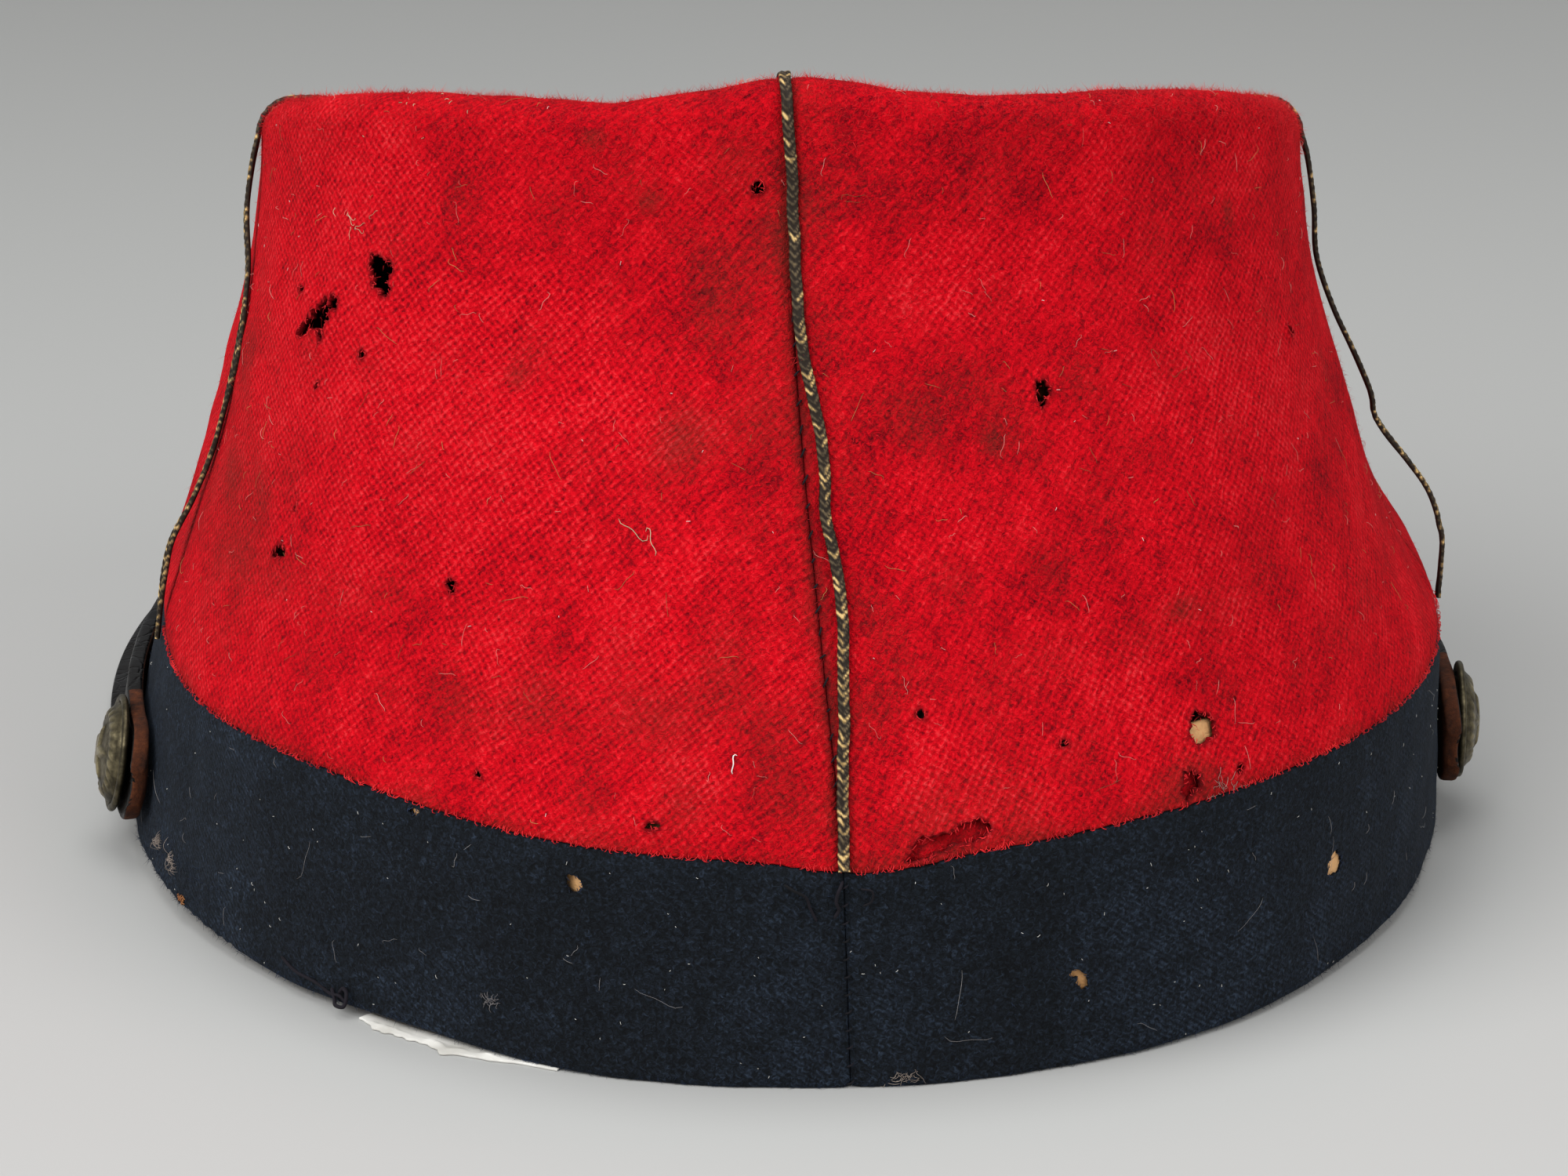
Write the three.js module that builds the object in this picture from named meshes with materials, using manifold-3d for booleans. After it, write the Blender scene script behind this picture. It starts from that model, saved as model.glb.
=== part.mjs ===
// A soldier's kepi: a band, four crown panels and a sunken tip of wool cloth, trimmed with flat braid,
// with a leather sweatband, peak and chin strap, a brass strap slide and two domed side buttons.
// Millimetres, +Z up. The peak points to -Y, the back seam to +Y and the wearer's left side to +X.
// Angles are in degrees round the head: 0 is the wearer's left, 90 the back, 180 the right, 270 the front.
import * as THREE from "three";
import { mergeVertices } from "three/addons/utils/BufferGeometryUtils.js";
import Module from "manifold-3d";

const wasm = await Module();
wasm.setup();

// Head opening: an egg shape, measured outside the band
const headHalfWidth = 82.3;
const headBackReach = 92;
const headFrontReach = 99;

// Cloth, leather and the gap left at each seam or between two layers
const bandHeight = 30;
const bandCloth = 1.6;
const crownCloth = 1.8;
const seamGap = 0.35;

// Crown: the rim is an oval on a plane that slopes down to the front and a little to the right
const rimHalfWidth = 64.2;
const rimHalfLength = 64.5;
const tipHeight = 87.4;
const tipForward = 6;
const tipLeftward = 1;
const tipSlope = 19.5;
const tipRoll = 1.2;
const rollRadius = 4;
const rimLip = 3;
const rimWave = 2;
const tipSag = 4;
const tipCloth = 1.8;
const dentDepth = 2.4;

// Sweatband: rises inside the band and a little way up the crown
const sweatbandLeather = 1.3;
const sweatbandRise = 7;

// Peak: a nearly flat crescent sewn under the front of the band
const peakReach = 41;
const peakLeather = 1.8;
const peakSlope = 7;
const peakStandOut = 4.6;
const peakCornerAngle = 2;
const peakCornerTaper = 30;

// Chin strap and its slide
const strapWidth = 15;
const strapLeather = 2;
const strapTail = 9.5;
const strapFrontHeight = 8.4;
const strapBow = 2.6;
const slideAngle = 292;
const slideLength = 9;
const slideMetal = 1;
const slideClearance = 0.3;

// Side buttons
const buttonHeight = 10.8;
const buttonSetback = 9;
const buttonRadius = 7.4;
const buttonDome = 3;
const buttonRim = 0.9;
const buttonRelief = 0.35;
const backPlateMetal = 0.8;
const shankRadius = 1.6;
const shankClearance = 0.4;

// Braid
const braidWidth = 1.6;
const braidThickness = 0.7;
const braidSlack = 5.3;
const seamDrift = 3.7;

// Size that the moth holes' widths and heights are shares of
const mothBite = 3;

// How finely the curved pieces are faceted
const panelColumns = 13;
const wallRows = 10;
const rollRows = 4;
const ringColumns = 64;
const braidSteps = 28;
const peakSteps = 40;
const strapSteps = 56;
const buttonSegments = 22;

// The band round the head. top and hem are heights as shares of the band's own, out is how far the hem
// stands out past the head's outline and lean how far the top edge stands out past the hem, as shares too.
const bandRows = [
  { angle: 0, top: 0.84, hem: 0, out: 0.05, lean: -0.15 },
  { angle: 22, top: 0.88, hem: 0, out: 0.04, lean: -0.1 },
  { angle: 40, top: 0.96, hem: 0, out: 0.02, lean: -0.05 },
  { angle: 52, top: 0.96, hem: 0.015, out: 0, lean: -0.03 },
  { angle: 66, top: 0.95, hem: 0, out: 0.01, lean: -0.01 },
  { angle: 82, top: 0.945, hem: 0, out: 0, lean: 0 },
  { angle: 91, top: 0.9, hem: 0, out: 0, lean: 0 },
  { angle: 101, top: 0.96, hem: 0, out: 0.01, lean: 0 },
  { angle: 115, top: 0.99, hem: 0, out: 0.03, lean: 0 },
  { angle: 132, top: 0.98, hem: 0, out: 0.03, lean: 0 },
  { angle: 155, top: 0.9, hem: 0, out: 0, lean: 0 },
  { angle: 180, top: 0.85, hem: 0, out: -0.03, lean: 0 },
  { angle: 225, top: 0.96, hem: 0, out: 0, lean: 0 },
  { angle: 270, top: 1.0, hem: 0, out: 0, lean: 0 },
  { angle: 315, top: 0.96, hem: 0, out: 0.02, lean: -0.06 },
];

// The rim's waves, as shares of rimWave: it humps over the stiff back seam.
const rimRows = [
  { angle: 0, rise: 0.4 },
  { angle: 30, rise: 0.5 },
  { angle: 52, rise: 0.05 },
  { angle: 67, rise: -0.35 },
  { angle: 77, rise: 0.25 },
  { angle: 87, rise: 1 },
  { angle: 99, rise: 0.35 },
  { angle: 111, rise: 0.05 },
  { angle: 140, rise: 0.55 },
  { angle: 180, rise: 0.4 },
  { angle: 230, rise: 0.2 },
  { angle: 270, rise: 0.6 },
  { angle: 310, rise: 0.1 },
];

// Soft dents and swellings of the crown's wall. height is a share of the wall, depth a share of dentDepth
// (inwards is positive), spread the dent's half width in degrees and reach its half height as a share.
const dentRows = [
  { angle: 68, height: 0.74, spread: 13, reach: 0.2, depth: 1 },
  { angle: 20, height: 0.3, spread: 14, reach: 0.2, depth: 0.45 },
  { angle: 38, height: 0.6, spread: 12, reach: 0.22, depth: -0.5 },
  { angle: 82, height: 0.93, spread: 7, reach: 0.12, depth: 0.5 },
  { angle: 126, height: 0.45, spread: 15, reach: 0.22, depth: -0.55 },
  { angle: 108, height: 0.7, spread: 11, reach: 0.18, depth: 0.4 },
  { angle: 158, height: 0.62, spread: 12, reach: 0.2, depth: 0.35 },
  { angle: 174, height: 0.24, spread: 20, reach: 0.2, depth: 0.8 },
  { angle: 225, height: 0.55, spread: 20, reach: 0.25, depth: 0.6 },
  { angle: 270, height: 0.3, spread: 24, reach: 0.2, depth: -0.5 },
  { angle: 315, height: 0.6, spread: 18, reach: 0.22, depth: 0.5 },
  { angle: 350, height: 0.55, spread: 10, reach: 0.2, depth: -0.4 },
];

// Moth holes that go right through. share is the place up the crown's outer face, or up the band; wide and
// tall are shares of mothBite, and turn is in degrees.
const mothRows = {
  crown_back_left: [
    { angle: 40.5, share: 0.62, wide: 0.85, tall: 1.35, turn: -12 },
    { angle: 30.5, share: 0.555, wide: 1.75, tall: 0.8, turn: 35 },
    { angle: 30, share: 0.25, wide: 1, tall: 0.45, turn: 22 },
  ],
  crown_back_right: [
    { angle: 112, share: 0.505, wide: 0.5, tall: 0.9, turn: -10 },
    { angle: 151.5, share: 0.525, wide: 0.6, tall: 0.5, turn: 0 },
    { angle: 121.5, share: 0.09, wide: 0.9, tall: 1, turn: 15 },
    { angle: 119, share: 0.02, wide: 1, tall: 0.9, turn: 40 },
    { angle: 97.5, share: 0.014, wide: 3.3, tall: 0.8, turn: 8 },
  ],
  band: [
    { angle: 68, share: 0.84, wide: 0.65, tall: 0.7, turn: 0 },
    { angle: 109.5, share: 0.36, wide: 0.42, tall: 0.7, turn: 10 },
    { angle: 137, share: 0.48, wide: 0.65, tall: 0.9, turn: 15 },
  ],
};

// The four seams and the braid on each, by share of the way from the band to the rim. drift is sideways,
// as a share of seamDrift, towards greater angles; lift is how far the braid has come off the cloth, as a
// share of braidSlack.
const straightSeam = [
  { height: 0, drift: 0 },
  { height: 1, drift: 0 },
];
const seamRows = {
  back: [
    { height: 0, drift: -0.3 },
    { height: 0.15, drift: -0.43 },
    { height: 0.35, drift: -0.68 },
    { height: 0.68, drift: -1 },
    { height: 1, drift: -0.97 },
  ],
  left: straightSeam,
  right: straightSeam,
  front: straightSeam,
};
const braidRows = {
  back: [
    { height: 0, drift: -0.3, lift: 0 },
    { height: 0.15, drift: -0.19, lift: 0 },
    { height: 0.21, drift: 0, lift: 0 },
    { height: 0.29, drift: 0.1, lift: 0.04 },
    { height: 0.37, drift: 0.12, lift: 0.04 },
    { height: 0.43, drift: -0.05, lift: 0 },
    { height: 0.48, drift: -0.28, lift: 0 },
    { height: 0.55, drift: -0.22, lift: 0 },
    { height: 0.63, drift: -0.46, lift: 0.03 },
    { height: 0.69, drift: -0.76, lift: 0 },
    { height: 0.8, drift: -0.87, lift: 0 },
    { height: 1, drift: -0.97, lift: 0 },
  ],
  left: [
    { height: 0, drift: 0, lift: 0 },
    { height: 0.1, drift: 0.1, lift: 0.2 },
    { height: 0.18, drift: 0.1, lift: 0.3 },
    { height: 0.28, drift: 0.3, lift: 0.12 },
    { height: 0.42, drift: 0.8, lift: 0 },
    { height: 0.6, drift: 1.2, lift: 0 },
    { height: 0.74, drift: 0.6, lift: 0.03 },
    { height: 0.85, drift: 0.1, lift: 0.2 },
    { height: 0.94, drift: 0, lift: 0.14 },
    { height: 1, drift: 0, lift: 0 },
  ],
  right: [
    { height: 0, drift: 0, lift: 0 },
    { height: 0.05, drift: 0, lift: 0.36 },
    { height: 0.1, drift: 0, lift: 0.77 },
    { height: 0.19, drift: 0, lift: 1 },
    { height: 0.28, drift: 0, lift: 0.83 },
    { height: 0.4, drift: 0, lift: 0.38 },
    { height: 0.45, drift: 0, lift: 0.43 },
    { height: 0.55, drift: 0, lift: 0.3 },
    { height: 0.64, drift: 0.2, lift: 0.15 },
    { height: 0.75, drift: 0.6, lift: 0.08 },
    { height: 0.85, drift: 0.2, lift: 0.2 },
    { height: 0.95, drift: 0, lift: 0.15 },
    { height: 1, drift: 0, lift: 0 },
  ],
  front: [
    { height: 0, drift: 0, lift: 0 },
    { height: 0.4, drift: 0.15, lift: 0.03 },
    { height: 0.7, drift: -0.1, lift: 0 },
    { height: 1, drift: 0, lift: 0 },
  ],
};
const seamAngles = { left: 4, back: 90, right: 176, front: 270 };

// How far the chin strap stands off the band, as shares of strapBow. ahead is the way forward from its
// button, in button radii.
const strapRows = [
  { ahead: -2, left: 1.1, right: 1 },
  { ahead: -1.1, left: 0.15, right: 0.1 },
  { ahead: 0, left: 0.15, right: 0.1 },
  { ahead: 1.1, left: 0.15, right: 0.1 },
  { ahead: 4.6, left: 0.05, right: 0.05 },
  { ahead: 11, left: 0, right: 0 },
];

const degrees = Math.PI / 180;

// A column of a table at a place between its rows, on a smooth curve. With a turn, the table is a ring.
function readRows(rows, key, column, place, turn = 0) {
  const count = rows.length;
  const rowAt = (i) => {
    if (!turn) return rows[Math.min(Math.max(i, 0), count - 1)];
    const wrapped = ((i % count) + count) % count;
    return { ...rows[wrapped], [key]: rows[wrapped][key] + turn * Math.floor(i / count) };
  };
  const at = turn ? place - turn * Math.floor((place - rows[0][key]) / turn) : place;
  let i = 0;
  while (i < count - (turn ? 1 : 2) && rowAt(i + 1)[key] <= at) i += 1;
  const [before, low, high, after] = [i - 1, i, i + 1, i + 2].map(rowAt);
  const span = high[key] - low[key];
  const share = THREE.MathUtils.clamp((at - low[key]) / span, 0, 1);
  const slope = (a, b) => (b[key] > a[key] ? ((b[column] - a[column]) / (b[key] - a[key])) * span : 0);
  const square = share * share;
  const cube = square * share;
  return (
    low[column] * (2 * cube - 3 * square + 1) +
    slope(before, high) * (cube - 2 * square + share) +
    high[column] * (3 * square - 2 * cube) +
    slope(low, after) * (cube - square)
  );
}

// The shortest way round from one angle to another
function angleBetween(from, to) {
  return THREE.MathUtils.euclideanModulo(to - from + 180, 360) - 180;
}

// The head opening's outline at an angle, moved outward along its normal
function headNormal(angle) {
  const across = Math.cos(angle * degrees) / headHalfWidth;
  const along = Math.sin(angle * degrees);
  return new THREE.Vector2(across, along / (along > 0 ? headBackReach : headFrontReach)).normalize();
}

function headOutline(angle, outward) {
  const along = Math.sin(angle * degrees);
  return new THREE.Vector2(
    Math.cos(angle * degrees) * headHalfWidth,
    along * (along > 0 ? headBackReach : headFrontReach),
  ).addScaledVector(headNormal(angle), outward);
}

// A point of the band: share 0 is its hem and 1 its top edge, depth is measured in from its outer face
function bandSkin(angle, share, depth) {
  const read = (column) => bandHeight * readRows(bandRows, "angle", column, angle, 360);
  const flat = headOutline(angle, read("out") + read("lean") * share - depth);
  return new THREE.Vector3(flat.x, flat.y, THREE.MathUtils.lerp(read("hem"), read("top"), share));
}

const tipTurn = new THREE.Euler(tipSlope * degrees, -tipRoll * degrees, 0);
const tipCentre = new THREE.Vector3(tipLeftward, -tipForward, tipHeight);
const tipNormal = new THREE.Vector3(0, 0, 1).applyEuler(tipTurn);

// A point over the tip's sloping plane: scale shrinks the inset rim outline towards the middle
function overTip(angle, inset, height, scale = 1) {
  return new THREE.Vector3(
    (rimHalfWidth - inset) * scale * Math.cos(angle * degrees),
    (rimHalfLength - inset) * scale * Math.sin(angle * degrees),
    height,
  )
    .applyEuler(tipTurn)
    .add(tipCentre);
}

function rimRise(angle) {
  return rimWave * readRows(rimRows, "angle", "rise", angle, 360);
}

// How far the dents push the wall in at a place
function dentAt(angle, height) {
  const deep = dentRows.reduce((sum, dent) => {
    const across = angleBetween(dent.angle, angle) / dent.spread;
    const up = (height - dent.height) / dent.reach;
    return sum + dent.depth * Math.exp(-across * across - up * up);
  }, 0);
  return dentDepth * deep * Math.min(1, 8 * height, 8 * (1 - height));
}

// The crown's outer face runs up the wall, over the rolled rim and in along a narrow lip; from 1 to 2 it
// goes on over the tip to its middle.
const wallEnd = 0.8;
const rollEnd = 0.95;

// The wall's bend: how steeply it leaves the band, against a straight line to the rim, and how far each
// end's direction holds, as shares of the wall.
const footSteepness = 0.78;
const footPull = 0.3;
const browPull = 0.34;

function wallPoint(angle, height) {
  const foot = bandSkin(angle, 1, 0);
  foot.z += seamGap;
  const brow = overTip(angle, 0, rimRise(angle) - rollRadius);
  const rise = foot.distanceTo(brow);
  const footDirection = brow.clone().sub(foot);
  footDirection.z *= footSteepness;
  footDirection.normalize();
  const curve = new THREE.CubicBezierCurve3(
    foot,
    foot.clone().addScaledVector(footDirection, rise * footPull),
    brow.clone().addScaledVector(tipNormal, -rise * browPull),
    brow,
  );
  const outward = headNormal(angle);
  const dent = dentAt(angle, height);
  return curve.getPoint(height).sub(new THREE.Vector3(outward.x * dent, outward.y * dent, 0));
}

function crownPoint(angle, share) {
  const rise = rimRise(angle);
  if (share <= wallEnd) return wallPoint(angle, share / wallEnd);
  if (share <= rollEnd) {
    const turn = ((share - wallEnd) / (rollEnd - wallEnd)) * 90 * degrees;
    return overTip(angle, rollRadius * (1 - Math.cos(turn)), rise - rollRadius * (1 - Math.sin(turn)));
  }
  if (share <= 1) {
    const along = (share - rollEnd) / (1 - rollEnd);
    return overTip(angle, rollRadius + rimLip * along, rise);
  }
  const scale = 2 - share;
  return overTip(angle, rollRadius + rimLip, tipLevel(angle, scale), scale);
}

// The tip's upper face: level with the lip at its edge and sunken in the middle
function tipLevel(angle, scale) {
  return rimRise(angle) * scale ** 3 - tipSag * (1 - scale * scale);
}

function crownNormal(angle, share) {
  if (share >= 1) return tipNormal.clone();
  const step = 0.006;
  const around = crownPoint(angle + 0.6, share).sub(crownPoint(angle - 0.6, share));
  const below = crownPoint(angle, Math.max(share - step, 0));
  const along = crownPoint(angle, Math.min(share + step, 1)).sub(below);
  return around.cross(along).normalize();
}

// A point inside the crown's cloth. At the foot the cloth is cut level, so its thickness lies flat there.
function crownSkin(angle, share, depth) {
  const outward = headNormal(angle);
  const level = new THREE.Vector3(outward.x, outward.y, 0);
  const across = crownNormal(angle, share).lerp(level, Math.max(0, 1 - share * 7)).normalize();
  return crownPoint(angle, share).addScaledVector(across, -depth);
}

// The crown's own radius at a place, for turning a sideways distance into degrees
function crownRadius(angle, share) {
  const point = crownPoint(angle, share);
  return Math.hypot(point.x - tipLeftward, point.y + tipForward);
}

// The angle of a seam or a braid at a share of the crown's outer face
function driftedAngle(name, rows, share, extra = 0) {
  const height = Math.min(share / wallEnd, 1);
  const sideways = seamDrift * readRows(rows[name], "height", "drift", height) + extra;
  return seamAngles[name] + sideways / crownRadius(seamAngles[name], share) / degrees;
}

// A loft through sections with the same even number of points, seen anticlockwise when looking along the
// way the sections go. The first half of a section and its second half, reversed, are its two faces.
function loft(sections, isRing = false) {
  const size = sections[0].length;
  const corners = [];
  const quad = (a, b, c, d) => corners.push(a, b, c, a, c, d);
  const last = sections.length - (isRing ? 0 : 1);
  for (let k = 0; k < last; k += 1) {
    const here = sections[k];
    const next = sections[(k + 1) % sections.length];
    for (let i = 0; i < size; i += 1) {
      const j = (i + 1) % size;
      quad(here[i], next[i], next[j], here[j]);
    }
  }
  if (!isRing) {
    const first = sections[0];
    const end = sections[sections.length - 1];
    for (let i = 0; i < size / 2 - 1; i += 1) {
      quad(first[i], first[i + 1], first[size - 2 - i], first[size - 1 - i]);
      quad(end[size - 1 - i], end[size - 2 - i], end[i + 1], end[i]);
    }
  }
  const geometry = new THREE.BufferGeometry().setFromPoints(corners);
  geometry.computeVertexNormals();
  return geometry;
}

// Whole numbers from 0 to count, as shares
function shares(count) {
  return Array.from({ length: count + 1 }, (_, i) => i / count);
}

// A geometry as a solid that can be joined and cut, and back
function solidOf(geometry) {
  const bare = (geometry.index ? geometry.toNonIndexed() : geometry.clone())
    .deleteAttribute("normal")
    .deleteAttribute("uv");
  const merged = mergeVertices(bare, 1e-4);
  return new wasm.Manifold(
    new wasm.Mesh({
      numProp: 3,
      vertProperties: merged.attributes.position.array,
      triVerts: new Uint32Array(merged.index.array),
    }),
  );
}

function geometryOf(solid) {
  const mesh = solid.getMesh();
  const geometry = new THREE.BufferGeometry();
  geometry.setAttribute("position", new THREE.BufferAttribute(mesh.vertProperties, 3));
  geometry.setIndex(new THREE.BufferAttribute(mesh.triVerts, 1));
  geometry.computeVertexNormals();
  return geometry;
}

// A piece of cloth with its moth holes cut through. pointAt gives its outer face at an angle and a share.
function withMothHoles(name, geometry, pointAt) {
  if (!mothRows[name]) return geometry;
  const cloth = mothRows[name].reduce((piece, row) => {
    const corners = shares(8)
      .slice(1)
      .map((share, i) => {
        const reach = (i % 2 ? 0.42 : 0.58) * mothBite;
        const turn = share * 360 * degrees;
        return new THREE.Vector2(reach * row.wide * Math.cos(turn), reach * row.tall * Math.sin(turn));
      });
    const depth = 4 * Math.max(crownCloth, bandCloth);
    const block = new THREE.ExtrudeGeometry(new THREE.Shape(corners), { depth, bevelEnabled: false });
    block.translate(0, 0, -depth / 2).rotateZ(row.turn * degrees);
    const centre = pointAt(row.angle, row.share);
    const around = pointAt(row.angle + 1, row.share).sub(centre).normalize();
    const rising = pointAt(row.angle, row.share + 0.01).sub(centre).normalize();
    const out = around.cross(rising).normalize();
    const place = new THREE.Matrix4().makeBasis(rising.clone().cross(out), rising, out);
    return piece.subtract(solidOf(block.applyMatrix4(place.setPosition(centre))));
  }, solidOf(geometry));
  return geometryOf(cloth);
}

const scarletCloth = new THREE.MeshStandardMaterial({ color: 0xb81e28, roughness: 0.95, metalness: 0 });
const navyCloth = new THREE.MeshStandardMaterial({ color: 0x1b2434, roughness: 0.95, metalness: 0 });
const tanLeather = new THREE.MeshStandardMaterial({ color: 0xa97a4c, roughness: 0.7, metalness: 0 });
const blackLeather = new THREE.MeshStandardMaterial({ color: 0x17130f, roughness: 0.35, metalness: 0 });
const tarnishedBraid = new THREE.MeshStandardMaterial({ color: 0x6b5c3d, roughness: 0.55, metalness: 0.6 });
const agedBrass = new THREE.MeshStandardMaterial({ color: 0x746645, roughness: 0.45, metalness: 0.9 });

function named(name, geometry, material) {
  const mesh = new THREE.Mesh(geometry, material);
  mesh.name = name;
  return mesh;
}

// Shares of the crown's outer face at which each panel has a row of points
const crownRows = [
  ...shares(wallRows).map((share) => share * wallEnd),
  ...shares(rollRows).slice(1).map((share) => THREE.MathUtils.lerp(wallEnd, rollEnd, share)),
  1,
];

// One crown panel, from one seam round to the next
function crownPanel(name, fromSeam, toSeam) {
  const wrap = seamAngles[toSeam] > seamAngles[fromSeam] ? 0 : 360;
  const column = (across) => (share) => {
    const from = driftedAngle(fromSeam, seamRows, share, seamGap / 2);
    const to = driftedAngle(toSeam, seamRows, share, -seamGap / 2) + wrap;
    return THREE.MathUtils.lerp(from, to, across);
  };
  const sections = shares(panelColumns).map((across) => {
    const angleAt = column(across);
    const outer = crownRows.map((share) => crownSkin(angleAt(share), share, 0));
    const inner = crownRows.map((share) => crownSkin(angleAt(share), share, crownCloth));
    return [...outer, ...inner.reverse()];
  });
  return named(name, withMothHoles(name, loft(sections), crownPoint), scarletCloth);
}

// The tip: a disc set inside the rim's lip, following its waves and sagging in the middle
function crownTip() {
  const rings = 5;
  const edge = 1 - seamGap / (rimHalfWidth - rollRadius - rimLip);
  const upper = shares(rings).map((share) => new THREE.Vector2(share * edge, 0));
  const lower = shares(2).map((share) => new THREE.Vector2((1 - share) * edge, -tipCloth));
  const disc = new THREE.LatheGeometry([...upper, ...lower].reverse(), ringColumns * 0.75);
  const position = disc.getAttribute("position");
  for (let i = 0; i < position.count; i += 1) {
    const scale = Math.hypot(position.getX(i), position.getZ(i));
    const angle = Math.atan2(-position.getZ(i), position.getX(i)) / degrees;
    const level = tipLevel(angle, scale) + position.getY(i);
    position.setXYZ(i, ...overTip(angle, rollRadius + rimLip, level, scale));
  }
  return named("crown_tip", disc, scarletCloth);
}

// The band: one strip of cloth, closed by a seam at the back
function band() {
  const rows = [0, 0.35, 0.7, 1];
  const seamAt = (share, side) => {
    const sideways = seamDrift * seamRows.back[0].drift * share + (side * seamGap) / 2;
    return seamAngles.back + sideways / headBackReach / degrees;
  };
  const sections = shares(ringColumns).map((around) => {
    const angleAt = (share) => THREE.MathUtils.lerp(seamAt(share, 1), seamAt(share, -1) + 360, around);
    const outer = rows.map((share) => bandSkin(angleAt(share), share, 0));
    const inner = rows.map((share) => bandSkin(angleAt(share), share, bandCloth));
    return [...outer, ...inner.reverse()];
  });
  const faceAt = (angle, share) => bandSkin(angle, share, 0);
  return named("band", withMothHoles("band", loft(sections), faceAt), navyCloth);
}

// The sweatband: a leather ring behind the band that leans in with the foot of the crown
function sweatband() {
  const crownShare = (sweatbandRise / (tipHeight - bandHeight)) * wallEnd;
  const face = (angle, depth) => [
    bandSkin(angle, 0.02, bandCloth + depth),
    bandSkin(angle, 0.5, bandCloth + depth),
    bandSkin(angle, 0.98, bandCloth + depth),
    crownSkin(angle, crownShare * 0.4, crownCloth + depth),
    crownSkin(angle, crownShare, crownCloth + depth),
  ];
  const sections = shares(ringColumns)
    .slice(1)
    .map((around) => {
      const outer = face(around * 360, seamGap);
      const inner = face(around * 360, seamGap + sweatbandLeather);
      return [...outer, ...inner.reverse()];
    });
  return named("sweatband", loft(sections, true), tanLeather);
}

// The peak's outer edge: from a corner it widens to its full width, then goes round as half an ellipse.
// The place is a share of the way, from the right corner at 0 to the left one at 1.
const peakTaperShare = 0.12;

function peakEdge(share) {
  const corner = headOutline(-peakCornerAngle, 0);
  const halfWidth = headHalfWidth + peakStandOut;
  const turnAt = corner.y - peakCornerTaper;
  const fromEnd = Math.min(share, 1 - share);
  const side = share < 0.5 ? -1 : 1;
  if (fromEnd < peakTaperShare) {
    const along = fromEnd / peakTaperShare;
    const widen = Math.sin(along * 90 * degrees);
    const across = THREE.MathUtils.lerp(corner.x + bandCloth, halfWidth, widen);
    return new THREE.Vector2(side * across, corner.y - peakCornerTaper * along);
  }
  const sweep = ((share - 0.5) / (0.5 - peakTaperShare)) * 90 * degrees;
  const forward = headFrontReach + peakReach + turnAt;
  return new THREE.Vector2(halfWidth * Math.sin(sweep), turnAt - forward * Math.cos(sweep));
}

// The peak: its inner edge lies under the band's cloth
function peak() {
  const span = 180 - 2 * peakCornerAngle;
  const across = [0, 0.5, 0.93, 1];
  const sections = shares(peakSteps).map((share) => {
    const outer = peakEdge(share);
    const inner = headOutline(180 + peakCornerAngle + span * share, -bandCloth);
    const reach = inner.distanceTo(outer);
    const face = (depth, rounding) =>
      across.map((out) => {
        const flat = inner.clone().lerp(outer, out);
        const drop = reach * out * Math.tan(peakSlope * degrees);
        return new THREE.Vector3(flat.x, flat.y, -seamGap - depth - drop + (out === 1 ? rounding : 0));
      });
    const upper = face(0, -peakLeather * 0.3);
    const lower = face(peakLeather, peakLeather * 0.3);
    return [...lower, ...upper.reverse()];
  });
  return named("peak", loft(sections), blackLeather);
}

const buttonAngle = Math.asin(buttonSetback / headBackReach) / degrees;
const arcPerDegree = headHalfWidth * degrees;

// Height of the strap's middle, which falls from the buttons to the front
function strapMiddle(angle) {
  const fromFront = THREE.MathUtils.clamp(angleBetween(seamAngles.front, angle), -90, 90);
  const fallen = Math.min(1, Math.cos(fromFront * degrees) * 1.4);
  return THREE.MathUtils.lerp(buttonHeight, strapFrontHeight, fallen);
}

// How far the strap's inner face stands off the band's outer face
function strapStand(angle) {
  const fromFront = angleBetween(seamAngles.front, angle);
  const ahead = ((90 + buttonAngle - Math.abs(fromFront)) * arcPerDegree) / buttonRadius;
  const side = fromFront > 0 ? "left" : "right";
  const nearSlide = Math.exp(-((angleBetween(slideAngle, angle) / 9) ** 4));
  const slideStand = (slideMetal + slideClearance) * nearSlide;
  return seamGap + strapBow * readRows(strapRows, "ahead", side, ahead) + slideStand;
}

// A point of the strap: up is measured from its middle line, depth out from its inner face
function strapPoint(angle, up, depth) {
  const share = (strapMiddle(angle) + up) / bandHeight;
  return bandSkin(angle, share, -strapStand(angle) - depth);
}

// A frame on the band or strap: its origin at a depth on the middle line, +Y up the band, +Z straight out
function strapFrame(angle, depth) {
  const outward = headNormal(angle);
  const up = strapPoint(angle, 1, 0).sub(strapPoint(angle, -1, 0)).normalize();
  const side = up.clone().cross(new THREE.Vector3(outward.x, outward.y, 0)).normalize();
  const out = side.clone().cross(up);
  return new THREE.Matrix4().makeBasis(side, up, out).setPosition(strapPoint(angle, 0, depth));
}

// A button's frame starts on the band's outer face
function buttonFrame(angle) {
  return strapFrame(angle, -strapStand(angle));
}

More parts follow.
